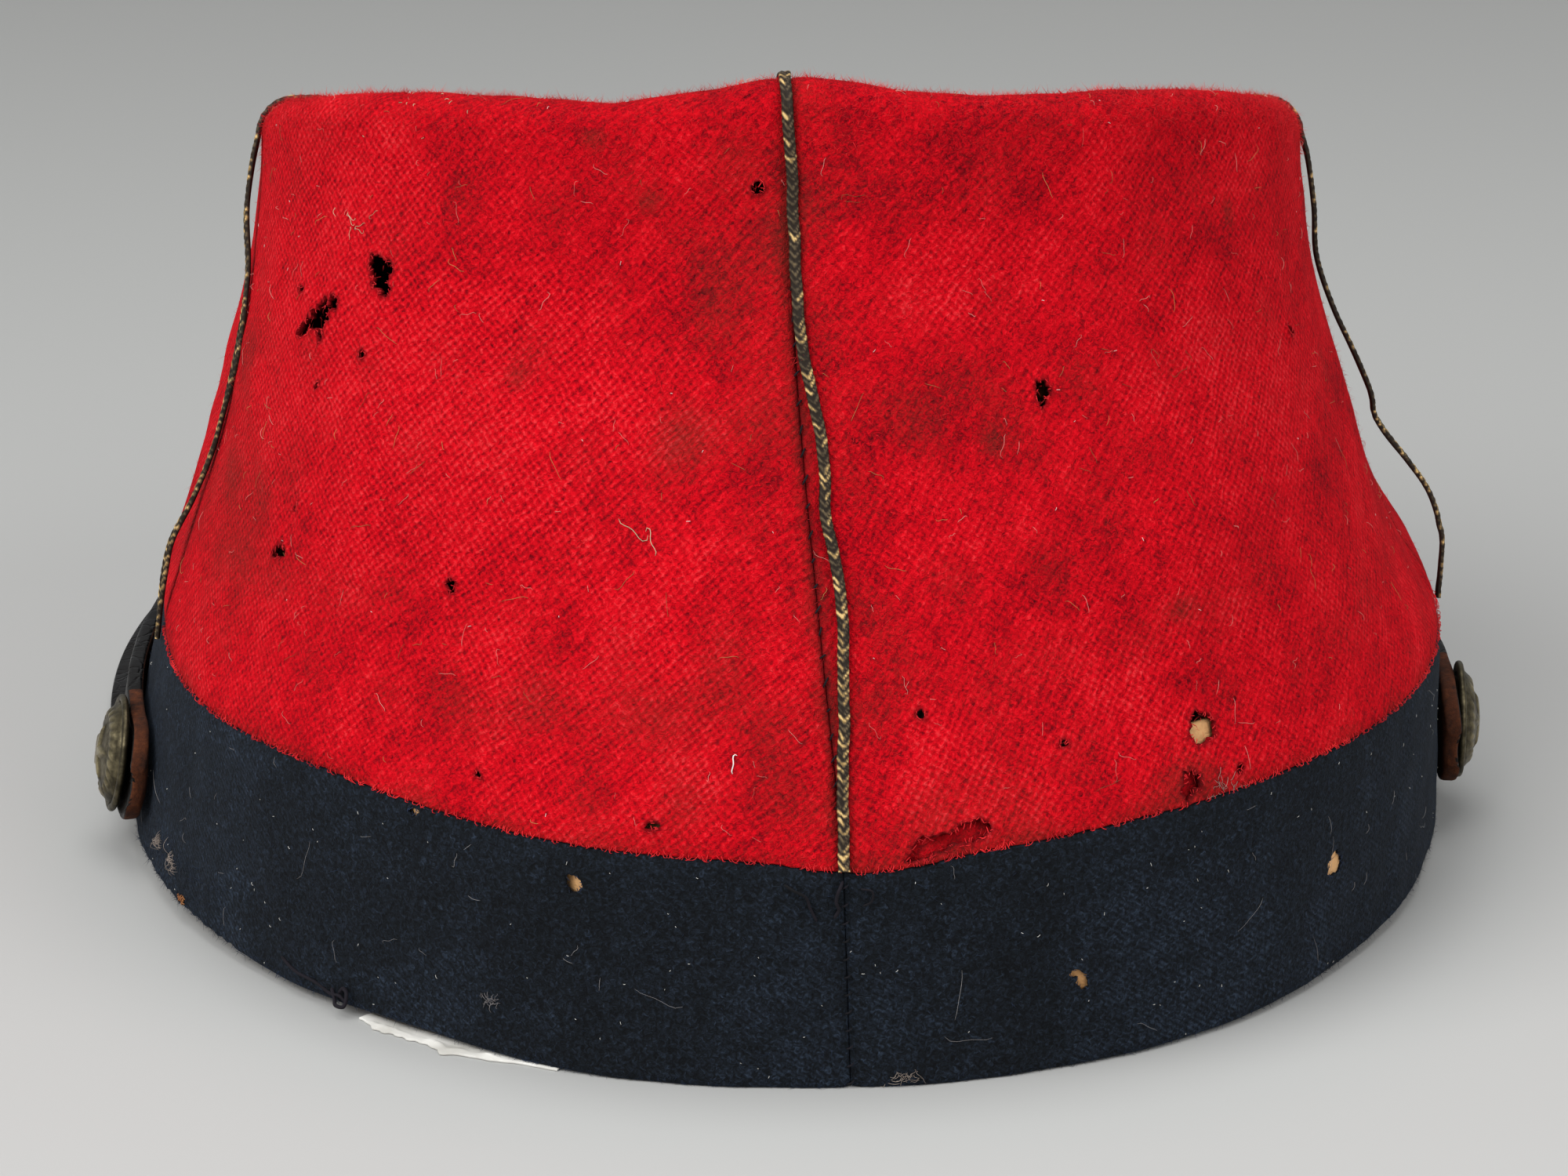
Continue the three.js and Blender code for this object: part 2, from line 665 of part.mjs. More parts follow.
// The chin strap: one leather strip from a tail behind one button, round the front, to the other tail
function chinStrap() {
  const halfWidth = strapWidth / 2;
  const tail = strapTail / arcPerDegree;
  const start = buttonAngle + tail;
  const end = -180 - buttonAngle - tail;
  const endSteps = 4;
  const endRoundness = 0.9;
  const endBluntness = 0.12;
  const stops = shares(endSteps).map(
    (share) => (halfWidth * endRoundness * (1 - Math.cos(share * 90 * degrees))) / arcPerDegree,
  );
  const middle = shares(strapSteps)
    .slice(1, -1)
    .map((share) => THREE.MathUtils.lerp(start - stops[endSteps], end + stops[endSteps], share));
  const angles = [
    ...stops.map((stop) => start - stop),
    ...middle,
    ...stops.map((stop) => end + stop).reverse(),
  ];
  const sections = angles.map((angle) => {
    const fromEnd = Math.min(start - angle, angle - end) * arcPerDegree;
    const round = THREE.MathUtils.clamp(fromEnd / (halfWidth * endRoundness), 0, 1);
    const half = halfWidth * Math.sqrt(THREE.MathUtils.lerp(endBluntness, 1, 1 - (1 - round) ** 2));
    return [
      strapPoint(angle, half, 0),
      strapPoint(angle, half, strapLeather),
      strapPoint(angle, -half, strapLeather),
      strapPoint(angle, -half, 0),
    ];
  });
  let strap = solidOf(loft(sections));
  for (const angle of [buttonAngle, 180 - buttonAngle]) {
    const hole = new THREE.CylinderGeometry(
      shankRadius + shankClearance,
      shankRadius + shankClearance,
      6 * strapLeather + 2 * strapBow,
      16,
    ).rotateX(90 * degrees);
    strap = strap.subtract(solidOf(hole.applyMatrix4(buttonFrame(angle))));
  }
  return named("chin_strap", geometryOf(strap), blackLeather);
}

// The slide: a flat brass loop round the strap
function strapSlide() {
  const hollow = new THREE.Vector2(strapWidth, strapLeather).addScalar(2 * slideClearance);
  const outside = hollow.clone().addScalar(2 * slideMetal);
  const block = new THREE.BoxGeometry(slideLength, outside.x, outside.y);
  const slot = new THREE.BoxGeometry(slideLength * 2, hollow.x, hollow.y);
  const loop = geometryOf(solidOf(block).subtract(solidOf(slot)));
  return named("strap_slide", loop.applyMatrix4(strapFrame(slideAngle, strapLeather / 2)), agedBrass);
}

// A closed turned solid with its axis along +Z, from [radius, height] pairs that start and end on the axis
function turned(profile, segments) {
  const points = profile.map(([radius, height]) => new THREE.Vector2(radius, height));
  return new THREE.LatheGeometry(points, segments).rotateX(90 * degrees);
}

function domeProfile(base, height, radius, steps) {
  return shares(steps).map((share) => [
    radius * Math.sin((1 - share) * 90 * degrees),
    base + height * Math.sin(share * 90 * degrees) ** 1.15,
  ]);
}

// A button's face: a domed shell with a rolled rim, a raised ring and a raised five-pointed star
function buttonFace(name, angle) {
  const seat = strapStand(angle) + strapLeather + slideClearance;
  const rimTop = seat + buttonRim;
  const ring = buttonRadius * 0.84;
  const recess = seat + backPlateMetal * 0.5;
  const body = turned(
    [
      [0, recess],
      [buttonRadius * 0.8, recess],
      [buttonRadius * 0.86, seat],
      [buttonRadius * 0.97, seat],
      [buttonRadius, seat + buttonRim * 0.5],
      [buttonRadius * 0.96, rimTop],
      ...domeProfile(rimTop, buttonDome - buttonRim, ring, 5),
    ],
    buttonSegments,
  );
  const raised = turned(
    [
      [0, seat + buttonRim * 0.6],
      [ring, seat + buttonRim * 0.6],
      ...domeProfile(rimTop + buttonRelief, buttonDome - buttonRim, ring, 5),
    ],
    buttonSegments,
  );
  const star = new THREE.Shape(
    shares(9).map((share) => {
      const radius = Math.round(share * 9) % 2 ? ring * 0.26 : ring * 0.62;
      const turn = (share * 9 * 36 + 90) * degrees;
      return new THREE.Vector2(radius * Math.cos(turn), radius * Math.sin(turn));
    }),
  );
  const starBlock = new THREE.ExtrudeGeometry(star, { depth: 4 * buttonDome, bevelEnabled: false });
  const face = solidOf(body).add(solidOf(raised).intersect(solidOf(starBlock.translate(0, 0, rimTop))));
  return named(name, geometryOf(face).applyMatrix4(buttonFrame(angle)), agedBrass);
}

// A button's back: a plate in the face's recess, with the shank that goes through the strap to the band
function buttonBack(name, angle) {
  const seat = strapStand(angle) + strapLeather + slideClearance;
  const plateTop = seat + backPlateMetal * 0.5 - slideClearance;
  const plate = turned(
    [
      [0, seamGap],
      [shankRadius, seamGap],
      [shankRadius, plateTop - backPlateMetal * 0.3],
      [buttonRadius * 0.7, plateTop - backPlateMetal * 0.2],
      [buttonRadius * 0.74, plateTop],
      [0, plateTop],
    ],
    buttonSegments,
  );
  return named(name, plate.applyMatrix4(buttonFrame(angle)), agedBrass);
}

// A flat braid through places {point, normal}, with its lower face at each point
function flatBraid(name, places) {
  const sections = places.map(({ point, normal }, i) => {
    const before = places[Math.max(i - 1, 0)].point;
    const after = places[Math.min(i + 1, places.length - 1)].point;
    const along = after.clone().sub(before).normalize();
    const right = along.clone().cross(normal).normalize();
    const up = right.clone().cross(along).normalize();
    const corner = (side, height) =>
      point
        .clone()
        .addScaledVector(right, (side * braidWidth) / 2)
        .addScaledVector(up, height);
    return [
      corner(1, 0),
      corner(1, braidThickness * 0.8),
      corner(0.5, braidThickness),
      corner(-0.5, braidThickness),
      corner(-1, braidThickness * 0.8),
      corner(-1, 0),
    ];
  });
  return named(name, loft(sections), tarnishedBraid);
}

// The way of a braid up one side, from the band to the middle of the tip
function braidWay(name, crossing) {
  return shares(braidSteps).map((step) => {
    const share = 2 * step ** 0.85;
    const height = Math.min(share / wallEnd, 1);
    const slack = share < wallEnd ? braidSlack * readRows(braidRows[name], "height", "lift", height) : 0;
    const toMiddle = ((2 - share) * rimHalfWidth) / braidWidth;
    const over = share > 1 ? crossing * Math.exp(-((toMiddle / 1.6) ** 2)) : 0;
    const angle = driftedAngle(name, braidRows, Math.min(share, 1));
    const normal = crownNormal(angle, share);
    const point = crownPoint(angle, share).addScaledVector(normal, seamGap + Math.max(slack, 0) + over);
    return { point, normal };
  });
}

// A braid that runs up one side, across the tip and down the other side
function braidOver(name, from, to, crossing) {
  const up = braidWay(from, crossing);
  const down = braidWay(to, crossing).reverse().slice(1);
  return flatBraid(name, [...up, ...down]);
}

const kepi = new THREE.Group();
kepi.name = "kepi";
kepi.add(
  crownPanel("crown_back_left", "left", "back"),
  crownPanel("crown_back_right", "back", "right"),
  crownPanel("crown_front_right", "right", "front"),
  crownPanel("crown_front_left", "front", "left"),
  crownTip(),
  band(),
  sweatband(),
  peak(),
  chinStrap(),
  strapSlide(),
  buttonFace("button_left", buttonAngle),
  buttonBack("button_back_left", buttonAngle),
  buttonFace("button_right", 180 - buttonAngle),
  buttonBack("button_back_right", 180 - buttonAngle),
  braidOver("braid_lengthwise", "back", "front", 0),
  braidOver("braid_crosswise", "left", "right", braidThickness + seamGap),
);

// Set down, the cap leans back a little, from the back of the band to the peak's front edge
const peakDrop = seamGap + peakLeather + (peakReach + bandCloth) * Math.tan(peakSlope * degrees);
kepi.rotation.x = -Math.atan2(peakDrop, headBackReach + headFrontReach + peakReach);
kepi.updateMatrixWorld(true);
const bounds = new THREE.Box3().setFromObject(kepi, true);
const middle = bounds.getCenter(new THREE.Vector3());
kepi.position.set(-middle.x, -middle.y, -bounds.min.z);

export default kepi;
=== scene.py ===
# A soldier's kepi, seen from behind: scarlet wool crown, navy wool band, gilt braid, leather and brass.
# Angles run round the head in degrees: 0 the wearer's left, 90 the back, 180 the right, 270 the front.
# Shapes are worked out in millimetres in the cap's own frame, and then set into the model's frame.
import math

import bmesh
import bpy
import numpy as np
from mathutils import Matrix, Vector


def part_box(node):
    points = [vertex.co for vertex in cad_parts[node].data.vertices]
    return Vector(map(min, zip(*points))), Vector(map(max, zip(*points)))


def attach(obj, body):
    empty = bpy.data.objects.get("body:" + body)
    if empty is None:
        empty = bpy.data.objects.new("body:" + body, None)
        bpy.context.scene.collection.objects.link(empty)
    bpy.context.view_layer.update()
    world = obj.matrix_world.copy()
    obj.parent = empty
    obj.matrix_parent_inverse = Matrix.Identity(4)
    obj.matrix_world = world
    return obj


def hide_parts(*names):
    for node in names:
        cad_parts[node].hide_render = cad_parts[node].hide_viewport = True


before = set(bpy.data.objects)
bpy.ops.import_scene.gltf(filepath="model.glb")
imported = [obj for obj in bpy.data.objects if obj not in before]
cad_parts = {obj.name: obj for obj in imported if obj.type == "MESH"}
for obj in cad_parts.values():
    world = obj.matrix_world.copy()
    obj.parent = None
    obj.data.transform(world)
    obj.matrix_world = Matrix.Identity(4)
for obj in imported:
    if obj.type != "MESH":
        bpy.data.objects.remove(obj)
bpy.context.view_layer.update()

# Camera: low and straight behind the cap, with a long lens
cameraSetup = {
    "place": (0.06521, 0.86756, 0.3366),
    "aim": (-0.00574, -0.05453, 0.0),
    "lens": 163.46,
    "sensor": 36.0,
}


def placeCamera():
    data = bpy.data.cameras.new("camera")
    data.lens = cameraSetup["lens"]
    data.sensor_width = cameraSetup["sensor"]
    data.clip_start = 0.01
    camera = bpy.data.objects.new("camera", data)
    bpy.context.scene.collection.objects.link(camera)
    camera.location = cameraSetup["place"]
    gaze = Vector(cameraSetup["aim"]) - camera.location
    camera.rotation_euler = gaze.to_track_quat("-Z", "Y").to_euler()
    bpy.context.scene.camera = camera


placeCamera()
print("camera placed")


# Node helpers

def hexLinear(text):
    levels = [int(text[i:i + 2], 16) / 255 for i in (1, 3, 5)]
    linear = [level / 12.92 if level <= 0.04045 else ((level + 0.055) / 1.055) ** 2.4 for level in levels]
    return (*linear, 1.0)


def addNode(tree, kind, inputs=None, stops=(), **settings):
    # A node with its settings; an input that is a node or a socket is linked, any other is set
    node = tree.nodes.new(kind)
    for name, value in settings.items():
        setattr(node, name, value)
    for name, value in (inputs or {}).items():
        if isinstance(value, bpy.types.Node):
            value = value.outputs[0]
        if isinstance(value, bpy.types.NodeSocket):
            tree.links.new(value, node.inputs[name])
        else:
            node.inputs[name].default_value = value
    for i, (position, color) in enumerate(stops):
        ramp = node.color_ramp.elements
        element = ramp[i] if i < len(ramp) else ramp.new(position)
        element.position = position
        element.color = hexLinear(color)
    return node


def startMaterial(name):
    material = bpy.data.materials.new(name)
    material.use_nodes = True
    tree = material.node_tree
    tree.nodes.clear()
    return material, tree, addNode(tree, "ShaderNodeTexCoord").outputs["Object"]


def finishMaterial(material, inputs):
    shader = addNode(material.node_tree, "ShaderNodeBsdfPrincipled", inputs)
    addNode(material.node_tree, "ShaderNodeOutputMaterial", {"Surface": shader})
    return material


def weightedSum(tree, *parts):
    # Values added up, each times its share
    total = 0.0
    for value, share in parts:
        total = addNode(tree, "ShaderNodeMath", {0: value, 1: share, 2: total}, operation="MULTIPLY_ADD")
    return total


# Surfaces of the cap, the same as the solids'

capSize = {
    "halfWidth": 82.3,
    "backReach": 92.0,
    "frontReach": 99.0,
    "bandHeight": 30.0,
    "bandCloth": 1.6,
    "crownCloth": 1.8,
    "seamGap": 0.35,
    "rimHalfWidth": 64.2,
    "rimHalfLength": 64.5,
    "tipHeight": 87.4,
    "tipForward": 6.0,
    "tipLeftward": 1.0,
    "tipSlope": 19.5,
    "tipRoll": 1.2,
    "rollRadius": 4.0,
    "rimLip": 3.0,
    "rimWave": 2.0,
    "tipSag": 4.0,
    "tipCloth": 1.8,
    "dentDepth": 2.4,
    "wallEnd": 0.8,
    "rollEnd": 0.95,
    "footSteepness": 0.78,
    "footPull": 0.3,
    "browPull": 0.34,
    "seamDrift": 3.7,
    "peakReach": 41.0,
    "peakLeather": 1.8,
    "peakSlope": 7.0,
}

# Each table's first row of numbers is where its other rows are read
bandTable = {
    "angle": (0, 22, 40, 52, 66, 82, 91, 101, 115, 132, 155, 180, 225, 270, 315),
    "top": (0.84, 0.88, 0.96, 0.96, 0.95, 0.945, 0.9, 0.96, 0.99, 0.98, 0.9, 0.85, 0.96, 1.0, 0.96),
    "hem": (0, 0, 0, 0.015, 0, 0, 0, 0, 0, 0, 0, 0, 0, 0, 0),
    "out": (0.05, 0.04, 0.02, 0, 0.01, 0, 0, 0.01, 0.03, 0.03, 0, -0.03, 0, 0, 0.02),
    "lean": (-0.15, -0.1, -0.05, -0.03, -0.01, 0, 0, 0, 0, 0, 0, 0, 0, 0, -0.06),
}
rimTable = {
    "angle": (0, 30, 52, 67, 77, 87, 99, 111, 140, 180, 230, 270, 310),
    "rise": (0.4, 0.5, 0.05, -0.35, 0.25, 1, 0.35, 0.05, 0.55, 0.4, 0.2, 0.6, 0.1),
}
dentTable = {
    "angle": (68, 20, 38, 82, 126, 108, 158, 174, 225, 270, 315, 350),
    "height": (0.74, 0.3, 0.6, 0.93, 0.45, 0.7, 0.62, 0.24, 0.55, 0.3, 0.6, 0.55),
    "spread": (13, 14, 12, 7, 15, 11, 12, 20, 20, 24, 18, 10),
    "reach": (0.2, 0.2, 0.22, 0.12, 0.22, 0.18, 0.2, 0.2, 0.25, 0.2, 0.22, 0.2),
    "depth": (1, 0.45, -0.5, 0.5, -0.55, 0.4, 0.35, 0.8, 0.6, -0.5, 0.5, -0.4),
}
straightSeam = {"height": (0, 1), "drift": (0, 0)}
seamTables = {
    "back": {"height": (0, 0.15, 0.35, 0.68, 1), "drift": (-0.3, -0.43, -0.68, -1, -0.97)},
    "left": straightSeam,
    "right": straightSeam,
    "front": straightSeam,
}
braidTables = {
    "back": {
        "height": (0, 0.15, 0.21, 0.29, 0.37, 0.43, 0.48, 0.55, 0.63, 0.69, 0.8, 1),
        "drift": (-0.3, -0.19, 0, 0.1, 0.12, -0.05, -0.28, -0.22, -0.46, -0.76, -0.87, -0.97),
        "lift": (0, 0, 0, 0.04, 0.04, 0, 0, 0, 0.03, 0, 0, 0),
    },
    "left": {
        "height": (0, 0.1, 0.18, 0.28, 0.42, 0.6, 0.74, 0.85, 0.94, 1),
        "drift": (0, 0.1, 0.1, 0.3, 0.8, 1.2, 0.6, 0.1, 0, 0),
        "lift": (0, 0.2, 0.3, 0.12, 0, 0, 0.03, 0.2, 0.14, 0),
    },
    "right": {
        "height": (0, 0.05, 0.1, 0.19, 0.28, 0.4, 0.45, 0.55, 0.64, 0.75, 0.85, 0.95, 1),
        "drift": (0, 0, 0, 0, 0, 0, 0, 0, 0.2, 0.6, 0.2, 0, 0),
        "lift": (0, 0.36, 0.77, 1, 0.83, 0.38, 0.43, 0.3, 0.15, 0.08, 0.2, 0.15, 0),
    },
    "front": {"height": (0, 0.4, 0.7, 1), "drift": (0, 0.15, -0.1, 0), "lift": (0, 0.03, 0, 0)},
}
seamAngles = {"left": 4.0, "back": 90.0, "right": 176.0, "front": 270.0}


def readTable(table, column, place, turn=0.0):
    # A row of a table at places between its own, on a smooth curve; with a turn the table is a ring
    places = np.array(next(iter(table.values())), float)
    values = np.array(table[column], float)
    place = np.asarray(place, float)
    if turn:
        place = places[0] + np.mod(place - places[0], turn)
        places = np.concatenate([places[-1:] - turn, places, places[:2] + turn])
        values = np.concatenate([values[-1:], values, values[:2]])
    else:
        places = np.concatenate([places[:1], places, places[-1:]])
        values = np.concatenate([values[:1], values, values[-1:]])
    low = np.clip(np.searchsorted(places, place, side="right") - 1, 1, len(places) - 3)
    span = places[low + 1] - places[low]
    share = np.clip((place - places[low]) / span, 0, 1)
    slopeIn = (values[low + 1] - values[low - 1]) / (places[low + 1] - places[low - 1]) * span
    slopeOut = (values[low + 2] - values[low]) / (places[low + 2] - places[low]) * span
    square, cube = share ** 2, share ** 3
    return (values[low] * (2 * cube - 3 * square + 1) + slopeIn * (cube - 2 * square + share)
            + values[low + 1] * (3 * square - 2 * cube) + slopeOut * (cube - square))


def angleBetween(start, end):
    return np.mod(end - start + 180, 360) - 180


def unit(vectors):
    return vectors / np.linalg.norm(vectors, axis=-1, keepdims=True)


def column(values):
    return np.asarray(values, float)[..., None]


def headNormal(angle):
    turn = np.radians(angle)
    along = np.sin(turn)
    reach = np.where(along > 0, capSize["backReach"], capSize["frontReach"])
    return unit(np.stack([np.cos(turn) / capSize["halfWidth"], along / reach], axis=-1))


def levelNormal(angle):
    outward = headNormal(angle)
    return np.concatenate([outward, np.zeros_like(outward[..., :1])], axis=-1)


def headOutline(angle, outward):
    turn = np.radians(angle)
    along = np.sin(turn)
    reach = np.where(along > 0, capSize["backReach"], capSize["frontReach"])
    outline = np.stack([np.cos(turn) * capSize["halfWidth"], along * reach], axis=-1)
    return outline + headNormal(angle) * column(outward)


def bandSkin(angle, share, depth):
    # share 0 is the hem and 1 the top edge; depth goes in from the outer face
    height = capSize["bandHeight"]
    out, lean, hem, top = (height * readTable(bandTable, row, angle, 360)
                           for row in ("out", "lean", "hem", "top"))
    out = out + lean * share
    flat = headOutline(angle, out - depth)
    return np.concatenate([flat, column(hem + (top - hem) * share)], axis=-1)


def turnMatrix(slope, roll):
    a, b = math.radians(slope), math.radians(-roll)
    aboutX = np.array([[1, 0, 0], [0, math.cos(a), -math.sin(a)], [0, math.sin(a), math.cos(a)]])
    aboutY = np.array([[math.cos(b), 0, math.sin(b)], [0, 1, 0], [-math.sin(b), 0, math.cos(b)]])
    return aboutX @ aboutY


tipTurn = turnMatrix(capSize["tipSlope"], capSize["tipRoll"])
tipCentre = np.array([capSize["tipLeftward"], -capSize["tipForward"], capSize["tipHeight"]])
tipNormal = tipTurn @ np.array([0.0, 0.0, 1.0])


def overTip(angle, inset, height, scale=1.0):
    turn = np.radians(angle)
    flat = np.stack(np.broadcast_arrays(
        (capSize["rimHalfWidth"] - inset) * scale * np.cos(turn),
        (capSize["rimHalfLength"] - inset) * scale * np.sin(turn),
        height,
    ), axis=-1)
    return flat @ tipTurn.T + tipCentre


def rimRise(angle):
    return capSize["rimWave"] * readTable(rimTable, "rise", angle, 360)


def dentAt(angle, height):
    deep = 0
    for centre, level, spread, reach, depth in zip(*dentTable.values()):
        across = angleBetween(centre, angle) / spread
        up = (height - level) / reach
        deep = deep + depth * np.exp(-across ** 2 - up ** 2)
    return capSize["dentDepth"] * deep * np.clip(np.minimum(8 * height, 8 * (1 - height)), 0, 1)


def wallPoint(angle, height):
    foot = bandSkin(angle, 1, 0)
    foot[..., 2] += capSize["seamGap"]
    brow = overTip(angle, 0, rimRise(angle) - capSize["rollRadius"])
    rise = np.linalg.norm(brow - foot, axis=-1, keepdims=True)
    footWay = brow - foot
    footWay[..., 2] *= capSize["footSteepness"]
    low = foot + unit(footWay) * rise * capSize["footPull"]
    high = brow - tipNormal * rise * capSize["browPull"]
    t = column(height)
    curve = (foot * (1 - t) ** 3 + 3 * low * t * (1 - t) ** 2 + 3 * high * t ** 2 * (1 - t) + brow * t ** 3)
    curve[..., :2] -= headNormal(angle) * column(dentAt(angle, height))
    return curve


def tipLevel(angle, scale):
    return rimRise(angle) * scale ** 3 - capSize["tipSag"] * (1 - scale ** 2)


def crownPoint(angle, share):
    # Up the wall, over the rolled rim and in along its lip; from 1 to 2 on over the tip to its middle
    angle, share = np.broadcast_arrays(np.asarray(angle, float), np.asarray(share, float))
    wallEnd, rollEnd, radius, lip = (capSize[key] for key in ("wallEnd", "rollEnd", "rollRadius", "rimLip"))
    rise = rimRise(angle)
    wall = wallPoint(angle, np.clip(share / wallEnd, 0, 1))
    turn = np.clip((share - wallEnd) / (rollEnd - wallEnd), 0, 1) * math.pi / 2
    roll = overTip(angle, radius * (1 - np.cos(turn)), rise - radius * (1 - np.sin(turn)))
    along = np.clip((share - rollEnd) / (1 - rollEnd), 0, 1)
    flat = overTip(angle, radius + lip * along, rise)
    scale = np.clip(2 - share, 0, 1)
    over = overTip(angle, radius + lip, tipLevel(angle, scale), scale)
    place = column(share)
    return np.select([place <= wallEnd, place <= rollEnd, place <= 1], [wall, roll, flat], over)


def crownNormal(angle, share):
    angle, share = np.broadcast_arrays(np.asarray(angle, float), np.asarray(share, float))
    step = 0.006
    inside = np.minimum(share, 1)
    around = crownPoint(angle + 0.6, inside) - crownPoint(angle - 0.6, inside)
    along = crownPoint(angle, np.minimum(inside + step, 1)) - crownPoint(angle, np.maximum(inside - step, 0))
    return np.where(column(share) >= 1, tipNormal, unit(np.cross(around, along)))


def crownSkin(angle, share, depth):
    # At the foot the cloth is cut level, so its thickness lies flat there
    weight = column(np.clip(1 - np.asarray(share) * 7, 0, 1))
    across = unit(crownNormal(angle, share) * (1 - weight) + levelNormal(angle) * weight)
    return crownPoint(angle, share) - across * column(depth)


def crownRadius(angle, share):
    point = crownPoint(angle, share)
    return np.hypot(point[..., 0] - capSize["tipLeftward"], point[..., 1] + capSize["tipForward"])


def driftedAngle(name, tables, share, extra=0.0):
    height = np.minimum(np.asarray(share, float) / capSize["wallEnd"], 1)
    sideways = capSize["seamDrift"] * readTable(tables[name], "drift", height) + extra
    return seamAngles[name] + np.degrees(sideways / crownRadius(seamAngles[name], share))


# The cap leans back on its peak's front edge; its place in the frame is found from the band's box
peakDrop = (capSize["seamGap"] + capSize["peakLeather"]
            + (capSize["peakReach"] + capSize["bandCloth"]) * math.tan(math.radians(capSize["peakSlope"])))
capLean = math.atan2(peakDrop, capSize["backReach"] + capSize["frontReach"] + capSize["peakReach"])
leanTurn = turnMatrix(-math.degrees(capLean), 0)


def bandSeam(share, side, gap=capSize["seamGap"]):
    sideways = capSize["seamDrift"] * seamTables["back"]["drift"][0] * share + side * gap / 2
    return seamAngles["back"] + np.degrees(sideways / capSize["backReach"])


def capPlace():
    around = np.linspace(0, 1, 65)[:, None]
    share = np.array([0, 0.35, 0.7, 1.0])[None, :]
    start, end = bandSeam(share, 1), bandSeam(share, -1) + 360
    skin = bandSkin(start + (end - start) * around, share + 0 * around, 0).reshape(-1, 3) @ leanTurn.T
    return np.array(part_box("band")[0]) * 1000 - skin.min(axis=0)


capOffset = capPlace()


def toFrame(points):
    return (points @ leanTurn.T + capOffset) / 1000


def fromFrame(points):
    return (points * 1000 - capOffset) @ leanTurn


def ripple(across, up, seed, size):
    # Irregular soft waves of about one size, between about -1 and 1
    draws = np.random.default_rng(seed)
    total = 0
    for _ in range(9):
        turn, phase = draws.uniform(0, 2 * math.pi), draws.uniform(0, 2 * math.pi)
        stretch = draws.uniform(0.6, 1.7)
        along = across * math.cos(turn) + up * math.sin(turn)
        total = total + np.sin(along * 2 * math.pi / size * stretch + phase)
    return total / 4.5


def smoothStep(low, high, value):
    share = np.clip((value - low) / (high - low), 0, 1)
    return share * share * (3 - 2 * share)


def fade(distance, reach):
    # 1 at no distance, and less and less over about the reach
    return np.exp(-(distance / reach) ** 2)


# Flat pattern pieces

holeColumns = ("angle", "share", "wide", "tall", "turn", "rag")


def placedHoles(cloth, rows):
    # Each hole with its centre in the flat pattern and how far the pattern is stretched there
    holes = [dict(zip(holeColumns, row)) for row in rows]
    for hole in holes:
        hole["centre"] = cloth.flatPlace(hole["angle"], hole["share"])
        hole["stretch"] = cloth.stretchAt(hole["share"])
    return holes


def holeDistance(holes, across, up):
    # Millimetres outside the nearest hole's ragged outline, and negative inside it
    nearest = np.full(np.shape(across), 99.0)
    for hole in holes:
        x, y = (across - hole["centre"][0]) * hole["stretch"], up - hole["centre"][1]
        turn = np.arctan2(y, x)
        local = turn - math.radians(hole["turn"])
        oval = 0.5 / np.hypot(np.cos(local) / hole["wide"], np.sin(local) / hole["tall"])
        seed = hole["wide"] * 7.3 + hole["tall"] * 3.1 + hole["turn"]
        rag = (0.5 * np.sin(3 * turn + seed) + 0.35 * np.sin(5 * turn + 2 * seed)
               + 0.4 * np.sin(8 * turn + 3 * seed) + 0.25 * np.sin(13 * turn + 5 * seed))
        nearest = np.minimum(nearest, np.hypot(x, y) - oval * (1 + hole["rag"] * rag))
    return nearest


def nearHoles(cloth, across, up, reach):
    return fade(np.maximum(holeDistance(cloth.holes, across, up), 0), reach)


def flatPlaces(items):
    return np.array([item[:2] for item in items]).reshape(-1, 2).T


def cutHoles(bm, holes, size):
    # Finer cells near the holes, and no faces inside them; gives the places of the ragged edge
    for reach in (1.6, 0.6):
        gaps = holeDistance(holes, *flatPlaces([vert.co for vert in bm.verts]))
        close = {vert for vert, gap in zip(bm.verts, gaps) if gap < reach}
        edges = [edge for edge in bm.edges if edge.verts[0] in close and edge.verts[1] in close]
        bmesh.ops.subdivide_edges(bm, edges=edges, cuts=1, use_grid_fill=True)
    gaps = holeDistance(holes, *flatPlaces([face.calc_center_median() for face in bm.faces]))
    gone = [face for face, gap in zip(bm.faces, gaps) if gap < 0]
    bmesh.ops.delete(bm, geom=gone, context="FACES")
    return {(round(vert.co.x, 4), round(vert.co.y, 4)) for vert in bm.verts if vert.is_boundary
            and 0.01 < vert.co.x < size[0] - 0.01 and 0.01 < vert.co.y < size[1] - 0.01}


def snapToHoles(bm, holes, ragged):
    # Draws the stepped edge of the cut cells onto the holes' outlines
    rim = [vert for vert in bm.verts if (round(vert.co.x, 4), round(vert.co.y, 4)) in ragged]
    x, y = flatPlaces([vert.co for vert in rim])
    step = 0.02
    for _ in range(3):
        gap = holeDistance(holes, x, y)
        slopeX = (holeDistance(holes, x + step, y) - gap) / step
        slopeY = (holeDistance(holes, x, y + step) - gap) / step
        steep = slopeX ** 2 + slopeY ** 2 + 0.1
        x, y = x - slopeX * gap / steep, y - slopeY * gap / steep
    for vert, newX, newY in zip(rim, x, y):
        vert.co.x, vert.co.y = newX, newY
    gaps = holeDistance(holes, *flatPlaces([vert.co for vert in bm.verts]))
    around = [vert for vert, gap in zip(bm.verts, gaps) if 0.02 < gap < 0.9]
    bmesh.ops.smooth_vert(bm, verts=around, factor=0.5, use_axis_x=True, use_axis_y=True, use_axis_z=False)


